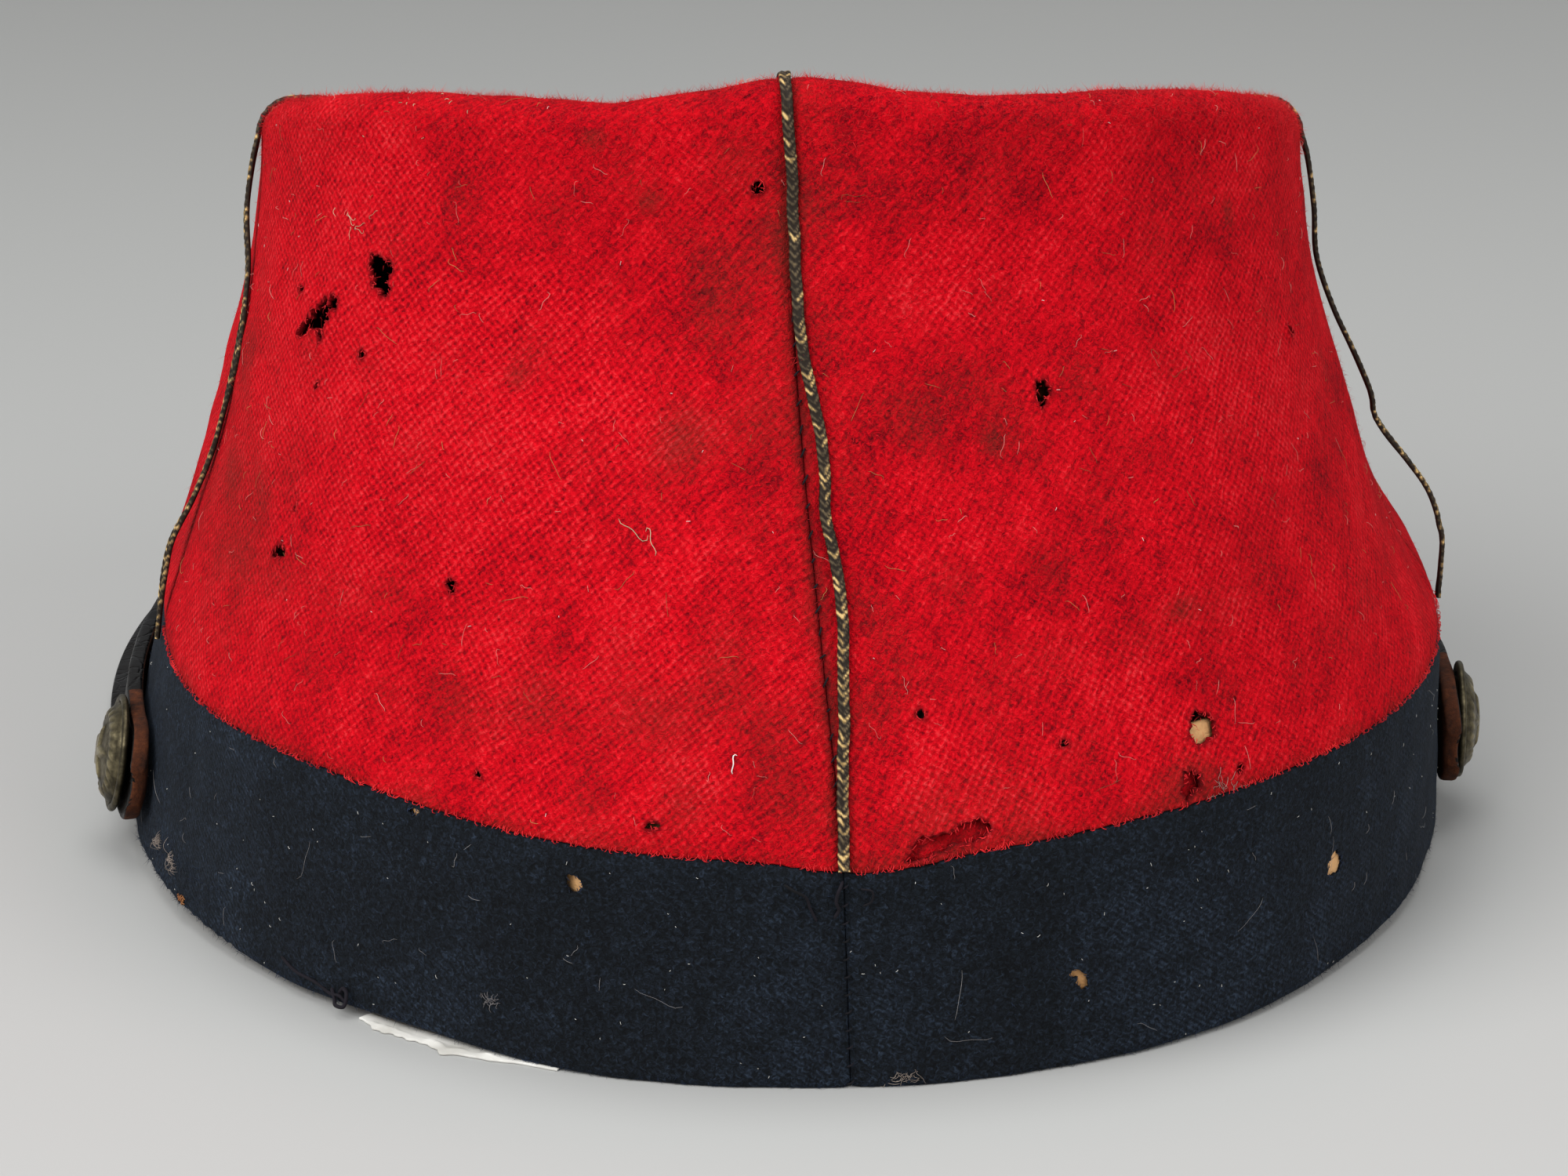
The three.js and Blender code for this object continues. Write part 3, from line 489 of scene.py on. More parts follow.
def flatSheet(size, cell, thickness, holes=(), edgeRadius=0.4, ring=False):
    # A sheet in its flat pattern with its holes and thickness: x runs round, y up and z out of its face
    bm = bmesh.new()
    columns, rows = max(4, round(size[0] / cell[0])), max(1, round(size[1] / cell[1]))
    bmesh.ops.create_grid(bm, x_segments=columns, y_segments=rows, size=0.5)
    bmesh.ops.scale(bm, vec=(size[0], size[1], 1), verts=bm.verts)
    bmesh.ops.translate(bm, vec=(size[0] / 2, size[1] / 2, 0), verts=bm.verts)
    ragged = cutHoles(bm, holes, size) if holes else ()
    bmesh.ops.solidify(bm, geom=bm.faces[:], thickness=thickness)
    if holes:
        snapToHoles(bm, holes, ragged)
    bmesh.ops.recalc_face_normals(bm, faces=bm.faces)

    def onEnd(vert):
        return min(vert.co.x, size[0] - vert.co.x) < 0.001

    def onBorder(vert):
        return onEnd(vert) or min(vert.co.y, size[1] - vert.co.y) < 0.001

    if ring:
        ends = [face for face in bm.faces if abs(face.normal.x) > 0.9 and all(onEnd(v) for v in face.verts)]
        bmesh.ops.delete(bm, geom=ends, context="FACES")
    if edgeRadius:
        rim = [edge for edge in bm.edges
               if edge.calc_face_angle(0) > 1 and all(onBorder(vert) for vert in edge.verts)]
        bmesh.ops.bevel(bm, geom=rim, offset=edgeRadius, offset_type="OFFSET", segments=2,
                        profile=0.5, affect="EDGES", material=-1, clamp_overlap=True)
    return bm


def meshPlaces(mesh):
    places = np.empty(len(mesh.vertices) * 3, np.float32)
    mesh.vertices.foreach_get("co", places)
    return places.reshape(-1, 3).astype(float)


def wrapMesh(bm, name, wrap, clothMap=None, masks=None, ring=False, sharpAngle=None):
    # Turns the flat sheet into its mesh: wrap places it, clothMap gives its UV in millimetres, masks its wear
    # and dirt, and the light and shade painted on it
    mesh = bpy.data.meshes.new(name)
    bm.to_mesh(mesh)
    bm.free()
    across, up, out = meshPlaces(mesh).T
    if clothMap:
        corners = np.empty(len(mesh.loops), np.int32)
        mesh.loops.foreach_get("vertex_index", corners)
        layer = mesh.uv_layers.new(name="cloth")
        places = np.stack(clothMap(across, up), axis=-1)[corners]
        layer.data.foreach_set("uv", places.astype(np.float32).ravel())
    for mask, values in (masks(across, up, out) if masks else {}).items():
        attribute = mesh.attributes.new(mask, "FLOAT", "POINT")
        attribute.data.foreach_set("value", np.clip(values, 0, 1).astype(np.float32))
    mesh.vertices.foreach_set("co", toFrame(wrap(across, up, out)).astype(np.float32).ravel())
    mesh.update()
    bm = bmesh.new()
    bm.from_mesh(mesh)
    if ring:
        bmesh.ops.remove_doubles(bm, verts=bm.verts, dist=0.00002)
    bmesh.ops.recalc_face_normals(bm, faces=bm.faces)
    bm.to_mesh(mesh)
    bm.free()
    return shaded(mesh, sharpAngle)


def shaded(mesh, sharpAngle=None):
    mesh.polygons.foreach_set("use_smooth", [True] * len(mesh.polygons))
    if sharpAngle:
        mesh.set_sharp_from_angle(angle=math.radians(sharpAngle))
    mesh.update()
    return mesh


def finishPiece(name, mesh, materials, slotName, *nodes):
    # An object for the mesh, on the cap's body and in place of the solids that it dresses
    piece = bpy.data.objects.new(name, mesh)
    bpy.context.scene.collection.objects.link(piece)
    for material in materials:
        mesh.materials.append(material)
    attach(piece, "root")
    if nodes:
        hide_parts(*nodes)
    return piece


# Materials: each pattern's size is in millimetres, and Object coordinates are in metres

perMetre = 1000
broadcloth = {
    "threadSpacing": 0.6,
    "fibreWidth": 0.55,
    "wanderLength": 2.38,
    "patchWidth": 11.76,
    "combAngle": 38,
    "combStretch": (2.6, 0.65, 1),
    "hairWidth": 1.11,
    "brushWidth": 11.1,
    "dustWidth": 0.417,
}
twill = {"ribSpacing": 0.85, "ribSlant": 0.75, "wanderLength": 3.33, "fibreWidth": 0.588, "patchWidth": 9.09}
hide = {"grainWidth": 0.714, "tanPatch": 11.1, "crackSpacing": 3.03, "crackWander": 6.25, "rubbedPatch": 14.3,
        "fleshFibre": 1.667}
metal = {"tarnishSpot": 2.38, "strandSpot": 0.909}
lintPatch = 7.14


def scarletWool():
    # Scarlet wool broadcloth, plain woven and milled: a matt felt of short crossing fibres, deep red with
    # paler tips, rubbed down to its threads in places and browned by dust in others. The fibres are drawn
    # about twice as coarse as real ones, so that they show
    material, tree, place = startMaterial("scarlet wool broadcloth")
    cloth = addNode(tree, "ShaderNodeUVMap", uv_map="cloth")
    wear_and_light, soil, torn_and_shade = (addNode(tree, "ShaderNodeAttribute", attribute_name=mask).outputs["Fac"]
                        for mask in ("wear_and_light", "soil", "torn_and_shade"))
    # The weave, its threads bent a little out of line
    wander = addNode(tree, "ShaderNodeTexNoise", {
        "Vector": place, "Scale": perMetre / broadcloth["wanderLength"], "Detail": 2.0})
    bent = addNode(tree, "ShaderNodeVectorMath", {0: wander.outputs["Color"], 1: (1.3, 1.3, 1.3), 2: cloth},
                   operation="MULTIPLY_ADD")
    split = addNode(tree, "ShaderNodeSeparateXYZ", {0: bent})
    rate = math.pi / broadcloth["threadSpacing"]
    warp = addNode(tree, "ShaderNodeMath", {0: split.outputs["X"], 1: rate}, operation="MULTIPLY")
    weft = addNode(tree, "ShaderNodeMath", {0: split.outputs["Y"], 1: rate}, operation="MULTIPLY")
    warpWave = addNode(tree, "ShaderNodeMath", {0: warp}, operation="SINE")
    weftWave = addNode(tree, "ShaderNodeMath", {0: weft}, operation="SINE")
    cells = addNode(tree, "ShaderNodeMath", {0: warpWave, 1: weftWave}, operation="MULTIPLY")
    # The nap, combed one way
    flecks = addNode(tree, "ShaderNodeTexNoise", {
        "Vector": place, "Scale": perMetre / broadcloth["fibreWidth"], "Detail": 2.5, "Roughness": 0.6,
        "Distortion": 1.3})
    combed = addNode(tree, "ShaderNodeMapping", {
        "Vector": cloth, "Rotation": (0, 0, math.radians(broadcloth["combAngle"])),
        "Scale": broadcloth["combStretch"]}, vector_type="TEXTURE")
    hairs = addNode(tree, "ShaderNodeTexNoise", {
        "Vector": combed, "Scale": 1 / broadcloth["hairWidth"], "Detail": 5.0, "Roughness": 0.7})
    brushed = addNode(tree, "ShaderNodeTexNoise", {
        "Vector": combed, "Scale": 1 / broadcloth["brushWidth"], "Detail": 4.0, "Roughness": 0.6})
    # How far the nap is gone: the worn places, with a painted lightening of the left side where the light
    # falls, broken up by patches
    patches = addNode(tree, "ShaderNodeTexNoise", {
        "Vector": place, "Scale": perMetre / broadcloth["patchWidth"], "Detail": 6.0, "Roughness": 0.68})
    bare = addNode(tree, "ShaderNodeMapRange", {
        "Value": weightedSum(tree, (wear_and_light, 1), (patches, 1.1)),
        "From Min": 0.6, "From Max": 1.35, "To Min": 0.15, "To Max": 1.0})
    threads = addNode(tree, "ShaderNodeMath", {0: cells, 1: bare}, operation="MULTIPLY")
    tone = weightedSum(tree, (flecks, 0.5), (patches, 0.18), (hairs, 0.36), (brushed, 0.2), (threads, 0.09),
                       (bare, 0.1))
    red = addNode(tree, "ShaderNodeValToRGB", {"Fac": tone}, stops=(
        (0.47, "#46020b"), (0.58, "#8a0311"), (0.67, "#b60413"), (0.76, "#cf091a"), (0.92, "#e0353a")))
    dust = addNode(tree, "ShaderNodeTexNoise", {
        "Vector": combed, "Scale": 1 / broadcloth["dustWidth"], "Detail": 5.0, "Roughness": 0.8})
    dustShare = addNode(tree, "ShaderNodeMapRange", {
        "Value": weightedSum(tree, (dust, 1), (soil, 0.6)),
        "From Min": 0.6, "From Max": 1.0, "To Min": 0.0, "To Max": 0.8})
    dusty = addNode(tree, "ShaderNodeMix", {0: dustShare, 6: red, 7: hexLinear("#4f2219")}, data_type="RGBA")
    # Darker at torn edges and the seam line, with painted shade on the cloth's inner face and between the
    # back seam and its braid
    tornAndShadeShare = addNode(tree, "ShaderNodeMath", {0: torn_and_shade, 1: 0.7}, operation="MULTIPLY")
    color = addNode(tree, "ShaderNodeMix", {0: tornAndShadeShare, 6: dusty.outputs[2], 7: hexLinear("#3d060b")},
                    data_type="RGBA")
    bump = addNode(tree, "ShaderNodeBump", {
        "Height": weightedSum(tree, (flecks, 1), (threads, 0.35), (hairs, 0.5)),
        "Strength": 0.9, "Distance": 0.00035})
    return finishMaterial(material, {
        "Base Color": color.outputs[2], "Normal": bump, "Roughness": 0.95, "Specular IOR Level": 0.07,
        "Sheen Weight": 0.06, "Sheen Roughness": 0.5, "Sheen Tint": hexLinear("#ff3c40")})


def navyWool():
    # Indigo-dyed wool twill, nearly black, with a fine diagonal rib where the nap has worn thin
    material, tree, place = startMaterial("navy wool twill")
    cloth = addNode(tree, "ShaderNodeUVMap", uv_map="cloth")
    wear_and_light = addNode(tree, "ShaderNodeAttribute", attribute_name="wear_and_light").outputs["Fac"]
    wander = addNode(tree, "ShaderNodeTexNoise", {
        "Vector": place, "Scale": perMetre / twill["wanderLength"], "Detail": 2.0})
    split = addNode(tree, "ShaderNodeSeparateXYZ", {0: cloth})
    across = weightedSum(tree, (split.outputs["Y"], 1), (split.outputs["X"], twill["ribSlant"]),
                         (wander, 0.6))
    turns = addNode(tree, "ShaderNodeMath", {0: across, 1: 2 * math.pi / twill["ribSpacing"]},
                    operation="MULTIPLY")
    ribs = addNode(tree, "ShaderNodeMath", {0: turns}, operation="SINE")
    flecks = addNode(tree, "ShaderNodeTexNoise", {
        "Vector": place, "Scale": perMetre / twill["fibreWidth"], "Detail": 3.0, "Roughness": 0.65,
        "Distortion": 1.0})
    patches = addNode(tree, "ShaderNodeTexNoise", {
        "Vector": place, "Scale": perMetre / twill["patchWidth"], "Detail": 7.0, "Roughness": 0.75})
    bare = addNode(tree, "ShaderNodeMapRange", {
        "Value": weightedSum(tree, (wear_and_light, 1), (patches, 0.9)),
        "From Min": 0.4, "From Max": 1.2, "To Min": 0.0, "To Max": 1.0})
    bareRibs = addNode(tree, "ShaderNodeMath", {0: ribs, 1: bare}, operation="MULTIPLY")
    blue = addNode(tree, "ShaderNodeValToRGB", {
        "Fac": weightedSum(tree, (bare, 0.13), (bareRibs, 0.05), (flecks, 0.8))}, stops=(
        (0.31, "#0c0e11"), (0.42, "#13171c"), (0.51, "#1b212a"), (0.66, "#313c4b")))
    bump = addNode(tree, "ShaderNodeBump", {
        "Height": weightedSum(tree, (flecks, 1), (bareRibs, 0.25)), "Strength": 0.8, "Distance": 0.0003})
    return finishMaterial(material, {
        "Base Color": blue, "Normal": bump, "Roughness": 0.95, "Specular IOR Level": 0.12,
        "Sheen Weight": 0.05, "Sheen Roughness": 0.4, "Sheen Tint": hexLinear("#9fb2d0")})


def tanLeather():
    # Vegetable-tanned calf, dry and unpolished: a warm tan with a fine pebbled grain and darker soaked spots
    material, tree, place = startMaterial("vegetable-tanned leather")
    patches = addNode(tree, "ShaderNodeTexNoise", {
        "Vector": place, "Scale": perMetre / hide["tanPatch"], "Detail": 5.0, "Roughness": 0.6})
    color = addNode(tree, "ShaderNodeValToRGB", {"Fac": patches}, stops=(
        (0.3, "#a87848"), (0.5, "#d8a56e"), (0.72, "#eac08e")))
    grain = addNode(tree, "ShaderNodeTexVoronoi", {
        "Vector": place, "Scale": perMetre / hide["grainWidth"]}, feature="DISTANCE_TO_EDGE")
    bump = addNode(tree, "ShaderNodeBump", {"Height": grain, "Strength": 0.5, "Distance": 0.0003})
    return finishMaterial(material, {
        "Base Color": color, "Normal": bump, "Roughness": 0.7, "Specular IOR Level": 0.35})


def blackLeather():
    # Black enamelled cowhide: a dulled skin gone to a net of fine cracks, brown where it has rubbed through
    material, tree, place = startMaterial("polished black leather")
    wander = addNode(tree, "ShaderNodeTexNoise", {
        "Vector": place, "Scale": perMetre / hide["crackWander"], "Detail": 3.0})
    offset = addNode(tree, "ShaderNodeVectorMath", {
        0: wander.outputs["Color"], 1: (0.006, 0.006, 0.006), 2: place}, operation="MULTIPLY_ADD")
    cracks = addNode(tree, "ShaderNodeTexVoronoi", {
        "Vector": offset, "Scale": perMetre / hide["crackSpacing"]}, feature="DISTANCE_TO_EDGE")
    skin = addNode(tree, "ShaderNodeMapRange", {"Value": cracks, "From Min": 0.0, "From Max": 0.09})
    rubbed = addNode(tree, "ShaderNodeTexNoise", {
        "Vector": place, "Scale": perMetre / hide["rubbedPatch"], "Detail": 6.0, "Roughness": 0.7})
    color = addNode(tree, "ShaderNodeValToRGB", {"Fac": rubbed}, stops=(
        (0.4, "#060403"), (0.62, "#0c0806"), (0.8, "#22150d")))
    gloss = addNode(tree, "ShaderNodeMapRange", {
        "Value": rubbed, "From Min": 0.35, "From Max": 0.75, "To Min": 0.28, "To Max": 0.7})
    bump = addNode(tree, "ShaderNodeBump", {"Height": skin, "Strength": 0.6, "Distance": 0.0002})
    return finishMaterial(material, {
        "Base Color": color, "Normal": bump, "Roughness": gloss, "Specular IOR Level": 0.12,
        "Coat Weight": 0.03, "Coat Roughness": 0.2})


def fleshLeather():
    # The flesh side of the strap's cowhide: bare brown fibre with no gloss
    material, tree, place = startMaterial("cowhide flesh side")
    fibre = addNode(tree, "ShaderNodeTexNoise", {
        "Vector": place, "Scale": perMetre / hide["fleshFibre"], "Detail": 6.0, "Roughness": 0.75})
    color = addNode(tree, "ShaderNodeValToRGB", {"Fac": fibre}, stops=(
        (0.3, "#1c0e08"), (0.55, "#4a2410"), (0.8, "#703d1e")))
    bump = addNode(tree, "ShaderNodeBump", {"Height": fibre, "Strength": 0.7, "Distance": 0.0003})
    return finishMaterial(material, {
        "Base Color": color, "Normal": bump, "Roughness": 0.9, "Specular IOR Level": 0.25})


def agedBrass():
    # Stamped brass under a dark brown tarnish, with dull yellow metal on the raised and handled places
    material, tree, place = startMaterial("tarnished brass")
    raised = addNode(tree, "ShaderNodeAttribute", attribute_name="raised").outputs["Fac"]
    patches = addNode(tree, "ShaderNodeTexNoise", {
        "Vector": place, "Scale": perMetre / metal["tarnishSpot"], "Detail": 6.0, "Roughness": 0.7})
    bright = weightedSum(tree, (patches, 1), (raised, 0.35))
    color = addNode(tree, "ShaderNodeValToRGB", {"Fac": bright}, stops=(
        (0.3, "#1a1711"), (0.52, "#403a2b"), (0.72, "#6f664e"), (0.95, "#a79a78")))
    rough = addNode(tree, "ShaderNodeMapRange", {
        "Value": bright, "From Min": 0.3, "From Max": 0.85, "To Min": 0.62, "To Max": 0.33})
    bump = addNode(tree, "ShaderNodeBump", {"Height": patches, "Strength": 0.35, "Distance": 0.0001})
    return finishMaterial(material, {
        "Base Color": color, "Normal": bump, "Metallic": 0.9, "Roughness": rough})


def giltBraid():
    # Soutache of gilt wire over a dark core: herringbone ribs, mostly tarnished to grey olive, with gold
    # left on single strands
    material, tree, place = startMaterial("tarnished gilt soutache")
    raised, bright = (addNode(tree, "ShaderNodeAttribute", attribute_name=mask).outputs["Fac"]
                      for mask in ("raised", "bright"))
    patches = addNode(tree, "ShaderNodeTexNoise", {
        "Vector": place, "Scale": perMetre / metal["strandSpot"], "Detail": 3.0, "Roughness": 0.6})
    gold = addNode(tree, "ShaderNodeMath", {0: patches, 1: bright}, operation="MULTIPLY")
    strands = addNode(tree, "ShaderNodeMath", {0: gold, 1: raised}, operation="MULTIPLY")
    color = addNode(tree, "ShaderNodeValToRGB", {"Fac": strands}, stops=(
        (0.02, "#241c15"), (0.09, "#5b4e3a"), (0.19, "#8a6f44"), (0.34, "#d3b277")))
    return finishMaterial(material, {
        "Base Color": color, "Metallic": 0.05, "Roughness": 0.6, "Specular IOR Level": 0.15})


def plainThread(name, dark, pale):
    # Spun thread or loose fibre: one dull colour that varies a little from place to place
    material, tree, place = startMaterial(name)
    patches = addNode(tree, "ShaderNodeTexNoise", {
        "Vector": place, "Scale": perMetre / lintPatch, "Detail": 3.0})
    color = addNode(tree, "ShaderNodeValToRGB", {"Fac": patches}, stops=((0.35, dark), (0.65, pale)))
    return finishMaterial(material, {"Base Color": color, "Roughness": 0.85, "Specular IOR Level": 0.25})


scarlet = scarletWool()
navy = navyWool()
tan = tanLeather()
enamelled = blackLeather()
flesh = fleshLeather()
brass = agedBrass()
gilt = giltBraid()
redFibre = plainThread("scarlet wool fibre", "#a30d17", "#e0262b")
navyFibre = plainThread("navy wool fibre", "#10141d", "#2b3a55")
darkThread = plainThread("waxed linen thread", "#060609", "#16121a")
paleThread = plainThread("undyed linen thread", "#8f8468", "#c9bf9f")
brownHair = plainThread("brown lint", "#6b3a22", "#b5804e")
whiteLint = plainThread("white cotton lint", "#b9b6ae", "#eceae4")
palePink = plainThread("faded wool lint", "#b0473f", "#d8958a")
greyFluff = plainThread("grey wool fluff", "#716c6c", "#aaa5a3")
dunFluff = plainThread("dun wool fluff", "#6d625c", "#ab9c90")
print("materials made")


# Crown panels

crownWear = {
    "seamGap": 0.05,
    "edgeRadius": 0.3,
    "footReach": 0.3,
    "stitchStep": 2.3,
    "holeThinning": 0.72,
    "holeCurl": 0.3,
    # Places rubbed to the threads, and last a broad painted lightening of the left side, where the light
    # falls: angle, share, half width in degrees, half height, amount
    "wear_and_light": ((57, 0.45, 18, 0.2, 0.8), (10.5, 0.6, 14, 0.25, 0.9), (134, 0.47, 14, 0.25, 0.4),
             (30, 0.7, 16, 0.2, 0.7), (72, 0.12, 30, 0.12, 0.25), (110, 0.14, 26, 0.12, 0.2),
             (160, 0.2, 16, 0.15, 0.2), (150, 0.75, 14, 0.2, 0.3), (12, 0.5, 30, 0.6, 0.5)),
    # Places dark with dust and grease; the broad rows at 20°, 80° and 84° make the lower left, the lower back
    # and the upper back darker
    "soil": ((66, 0.8, 1.6, 0.018, 0.6), (141, 0.69, 1.3, 0.02, 0.5), (75.5, 0.475, 3, 0.04, 0.2),
             (106, 0.47, 9, 0.12, 0.12), (106, 0.455, 1.6, 0.02, 0.45), (84, 0.62, 10, 0.25, 0.25),
             (72, 0.72, 1.3, 0.014, 0.4), (58, 0.52, 1.4, 0.016, 0.35), (122, 0.24, 1.6, 0.016, 0.4),
             (20, 0.25, 12, 0.16, 0.3), (119, 0.03, 5, 0.03, 0.4), (98, 0.04, 8, 0.05, 0.2),
             (80, 0.14, 30, 0.13, 0.2), (12, 0.42, 7, 0.2, 0.22)),
    # Long soft folds in the cloth: from angle and share, to angle and share, half width in mm, height in mm
    "folds": ((96, 0.9, 103, 0.72, 3.0, 0.55), (84, 0.92, 78, 0.7, 4.0, 0.4),
              (58, 0.9, 63, 0.62, 5.0, 0.35), (120, 0.86, 126, 0.6, 5.0, 0.3),
              (34, 0.3, 60, 0.5, 6.0, 0.35), (112, 0.2, 140, 0.42, 6.0, 0.3)),
}
# Moth holes: angle, share, width and height in mm, turn in degrees, and how ragged, as in holeColumns
mothHoles = {
    "back_left": (
        (40.5, 0.624, 3.5, 3.7, -12, 0.2), (39.4, 0.636, 2.2, 1.8, 30, 0.25),
        (41.4, 0.605, 1.4, 1.6, 10, 0.25), (31.5, 0.562, 4.6, 3.2, 35, 0.3),
        (28.8, 0.545, 3.7, 1.7, 40, 0.3), (33.6, 0.58, 2.2, 1.8, 0, 0.3),
        (32, 0.541, 1.2, 2.6, 15, 0.3), (26, 0.59, 1.1, 0.7, 10, 0.2),
        (39.5, 0.525, 1.1, 0.9, 30, 0.2), (32.5, 0.475, 1.2, 0.7, 40, 0.2),
        (30, 0.25, 3.7, 1.6, 22, 0.3), (32, 0.315, 1.8, 0.6, 40, 0.2),
        (53.5, 0.275, 1.2, 1.7, 10, 0.3), (83.5, 0.72, 1.6, 1.3, 0, 0.1),
        (58.5, 0.06, 1.1, 0.7, 0, 0.2), (74, 0.035, 2.0, 0.7, 12, 0.3),
    ),
    "back_right": (
        (112, 0.505, 1.7, 3.0, -14, 0.25), (151.5, 0.525, 2.1, 1.7, 0, 0.25),
        (96.5, 0.17, 1.0, 0.9, 0, 0.2), (108.5, 0.11, 1.0, 0.7, 0, 0.2),
        (121.5, 0.09, 3.8, 3.6, 20, 0.16), (119.2, 0.026, 3.2, 2.4, 40, 0.3),
        (124.5, 0.024, 1.2, 0.9, 20, 0.2), (96.2, 0.019, 6.0, 2.0, 8, 0.25),
        (99.8, 0.026, 5.2, 2.1, 4, 0.2),
    ),
}
panels = {
    # The seams at its ends, and the cell of its mesh in millimetres
    "back_left": {"seams": ("left", "back"), "cell": 0.85},
    "back_right": {"seams": ("back", "right"), "cell": 0.85},
    "front_right": {"seams": ("right", "front"), "cell": 1.15},
    "front_left": {"seams": ("front", "left"), "cell": 1.15},
}


def blotches(rows, angle, share):
    total = np.zeros_like(angle)
    for centre, level, spread, reach, amount in rows:
        total += amount * fade(np.hypot(angleBetween(centre, angle) / spread, (share - level) / reach), 1)
    return total


def foldRelief(angle, share, u, v, height):
    # Ridges along the folds, and a general unevenness of the worn cloth
    total = 0.22 * ripple(u, v, 5, 26) + 0.1 * ripple(u, v, 6, 9)
    radius = crownRadius(angle, share)
    for fromAngle, fromShare, toAngle, toShare, halfWidth, rise in crownWear["folds"]:
        across = np.radians(angleBetween(fromAngle, angle)) * radius
        up = (share - fromShare) * height
        lengthX = np.radians(toAngle - fromAngle) * radius
        lengthY = (toShare - fromShare) * height
        long = lengthX ** 2 + lengthY ** 2
        along = (across * lengthX + up * lengthY) / long
        aside = (across * lengthY - up * lengthX) / np.sqrt(long)
        total = total + rise * np.exp(-(aside / halfWidth) ** 2 - (2 * (along - 0.5)) ** 4)
    return total


class panelPattern:
    # One crown panel's flat pattern and the way that it goes onto the crown
    def __init__(self, name):
        fromSeam, toSeam = panels[name]["seams"]
        self.fromSeam, self.toSeam = fromSeam, toSeam
        self.wrapTurn = 0 if seamAngles[toSeam] > seamAngles[fromSeam] else 360
        self.stops = np.linspace(0, 1, 33)
        middle = crownPoint(self.angleAt(0.5, self.stops), self.stops)
        lengths = np.linalg.norm(np.diff(middle, axis=0), axis=1)
        self.rise = np.concatenate([[0], np.cumsum(lengths)])
        self.height = self.rise[-1]
        steps = np.linspace(0, 1, 25)
        ring = crownPoint(self.angleAt(steps[:, None], self.stops[None, :]), self.stops[None, :])
        self.widths = np.linalg.norm(np.diff(ring, axis=0), axis=2).sum(axis=0)
        self.width = self.widths.mean()
        self.holes = placedHoles(self, mothHoles.get(name, ()))

    def seamGapAngles(self, share):
        gap = crownWear["seamGap"] / 2
        return (driftedAngle(self.fromSeam, seamTables, share, gap),
                driftedAngle(self.toSeam, seamTables, share, -gap) + self.wrapTurn)

    def angleAt(self, across, share):
        start, end = self.seamGapAngles(share)
        return start + (end - start) * across

    def shareAt(self, up):
        return np.interp(up, self.rise, self.stops)

    def stretchAt(self, share):
        return np.interp(share, self.stops, self.widths) / self.width

    def flatPlace(self, angle, share):
        start, end = self.seamGapAngles(share)
        return ((angle - start) / (end - start) * self.width, np.interp(share, self.stops, self.rise))

    def clothMap(self, across, up):
        return (across - self.width / 2) * self.stretchAt(self.shareAt(up)), up

    def onCrown(self, across, up):
        # Angle and share on the crown, place in the cloth and distance from the nearer seam
        share = self.shareAt(up)
        u, v = self.clothMap(across, up)
        fromSeam = np.minimum(across, self.width - across) * self.stretchAt(share)
        return self.angleAt(across / self.width, share), share, u, v, fromSeam

    def wrap(self, across, up, out):
        angle, share, u, v, fromSeam = self.onCrown(across, up)
        outer = 1 + out / capSize["crownCloth"]
        relief = self.relief(angle, share, u, v, fromSeam, up)
        thin = 1 - crownWear["holeThinning"] * nearHoles(self, across, up, 1.3)
        curl = crownWear["holeCurl"] * nearHoles(self, across, up, 0.9) * (0.5 + ripple(u, v, 14, 3))
        placed = crownSkin(angle, share, -out * thin - (relief + curl) * (0.35 + 0.65 * np.clip(outer, 0, 1)))
        # The foot reaches down over most of the gap that the solids keep to the band
        uneven = 0.12 * ripple(u, 0 * u, 15, 2.4)
        placed[..., 2] -= (crownWear["footReach"] + uneven) * np.clip(1 - up / 2.5, 0, 1)
        return placed

    def relief(self, angle, share, u, v, fromSeam, up):
        # Folds and unevenness, drawn in along the seams and the foot
        uneven = foldRelief(angle, share, u, v, self.height) * smoothStep(0, 6, fromSeam)
        uneven = uneven * smoothStep(0, 5, up)
        pucker = 0.12 * np.sin(v * 2 * math.pi / crownWear["stitchStep"]) * fade(fromSeam, 1.6)
        atBack = fade(angleBetween(seamAngles["back"], angle), 20)
        valley = (0.08 + 0.34 * atBack) * fade(fromSeam, 1.0)
        return uneven + pucker * atBack - valley - 0.3 * fade(up, 1.1)

    def masks(self, across, up, out):
        angle, share, u, v, fromSeam = self.onCrown(across, up)
        rough = 0.22 * ripple(u, v, 11, 34) + 0.13 * ripple(u, v, 12, 11)
        # Rubbed places, and painted light on the left side from the table's last row
        wear_and_light = 0.3 + rough + blotches(crownWear["wear_and_light"], angle, share) - 0.25 * smoothStep(0.72, 0.9, share)
        dirty = blotches(crownWear["soil"], angle, share) + 0.1 + 0.14 * ripple(u, v, 13, 16)
        dirty += 0.3 * fade(fromSeam, 1.2) + 0.25 * fade(up, 1.5)
        # Darker at the holes' torn edges and along the seam line, with painted shade on the cloth's inner
        # face
        torn_and_shade = np.maximum(nearHoles(self, across, up, 0.35), smoothStep(-0.5, -1.2, out))
        torn_and_shade = np.maximum(torn_and_shade, 0.9 * fade(fromSeam, 0.4) * smoothStep(0.68, 0.58, share))
        # Painted shade between the back seam and the braid that wanders off it
        pastSeam = angleBetween(driftedAngle("back", seamTables, share), angle)
        pastBraid = angleBetween(driftedAngle("back", braidTables, share), angle)
        shadeBesideSeam = smoothStep(-0.8, 0, pastSeam) * smoothStep(0.5, 0, pastBraid) * smoothStep(0.62, 0.5, share)
        torn_and_shade = np.maximum(torn_and_shade, 0.34 * shadeBesideSeam)
        wear_and_light += 0.3 * nearHoles(self, across, up, 1.6)
        return {"wear_and_light": wear_and_light, "soil": dirty, "torn_and_shade": torn_and_shade}


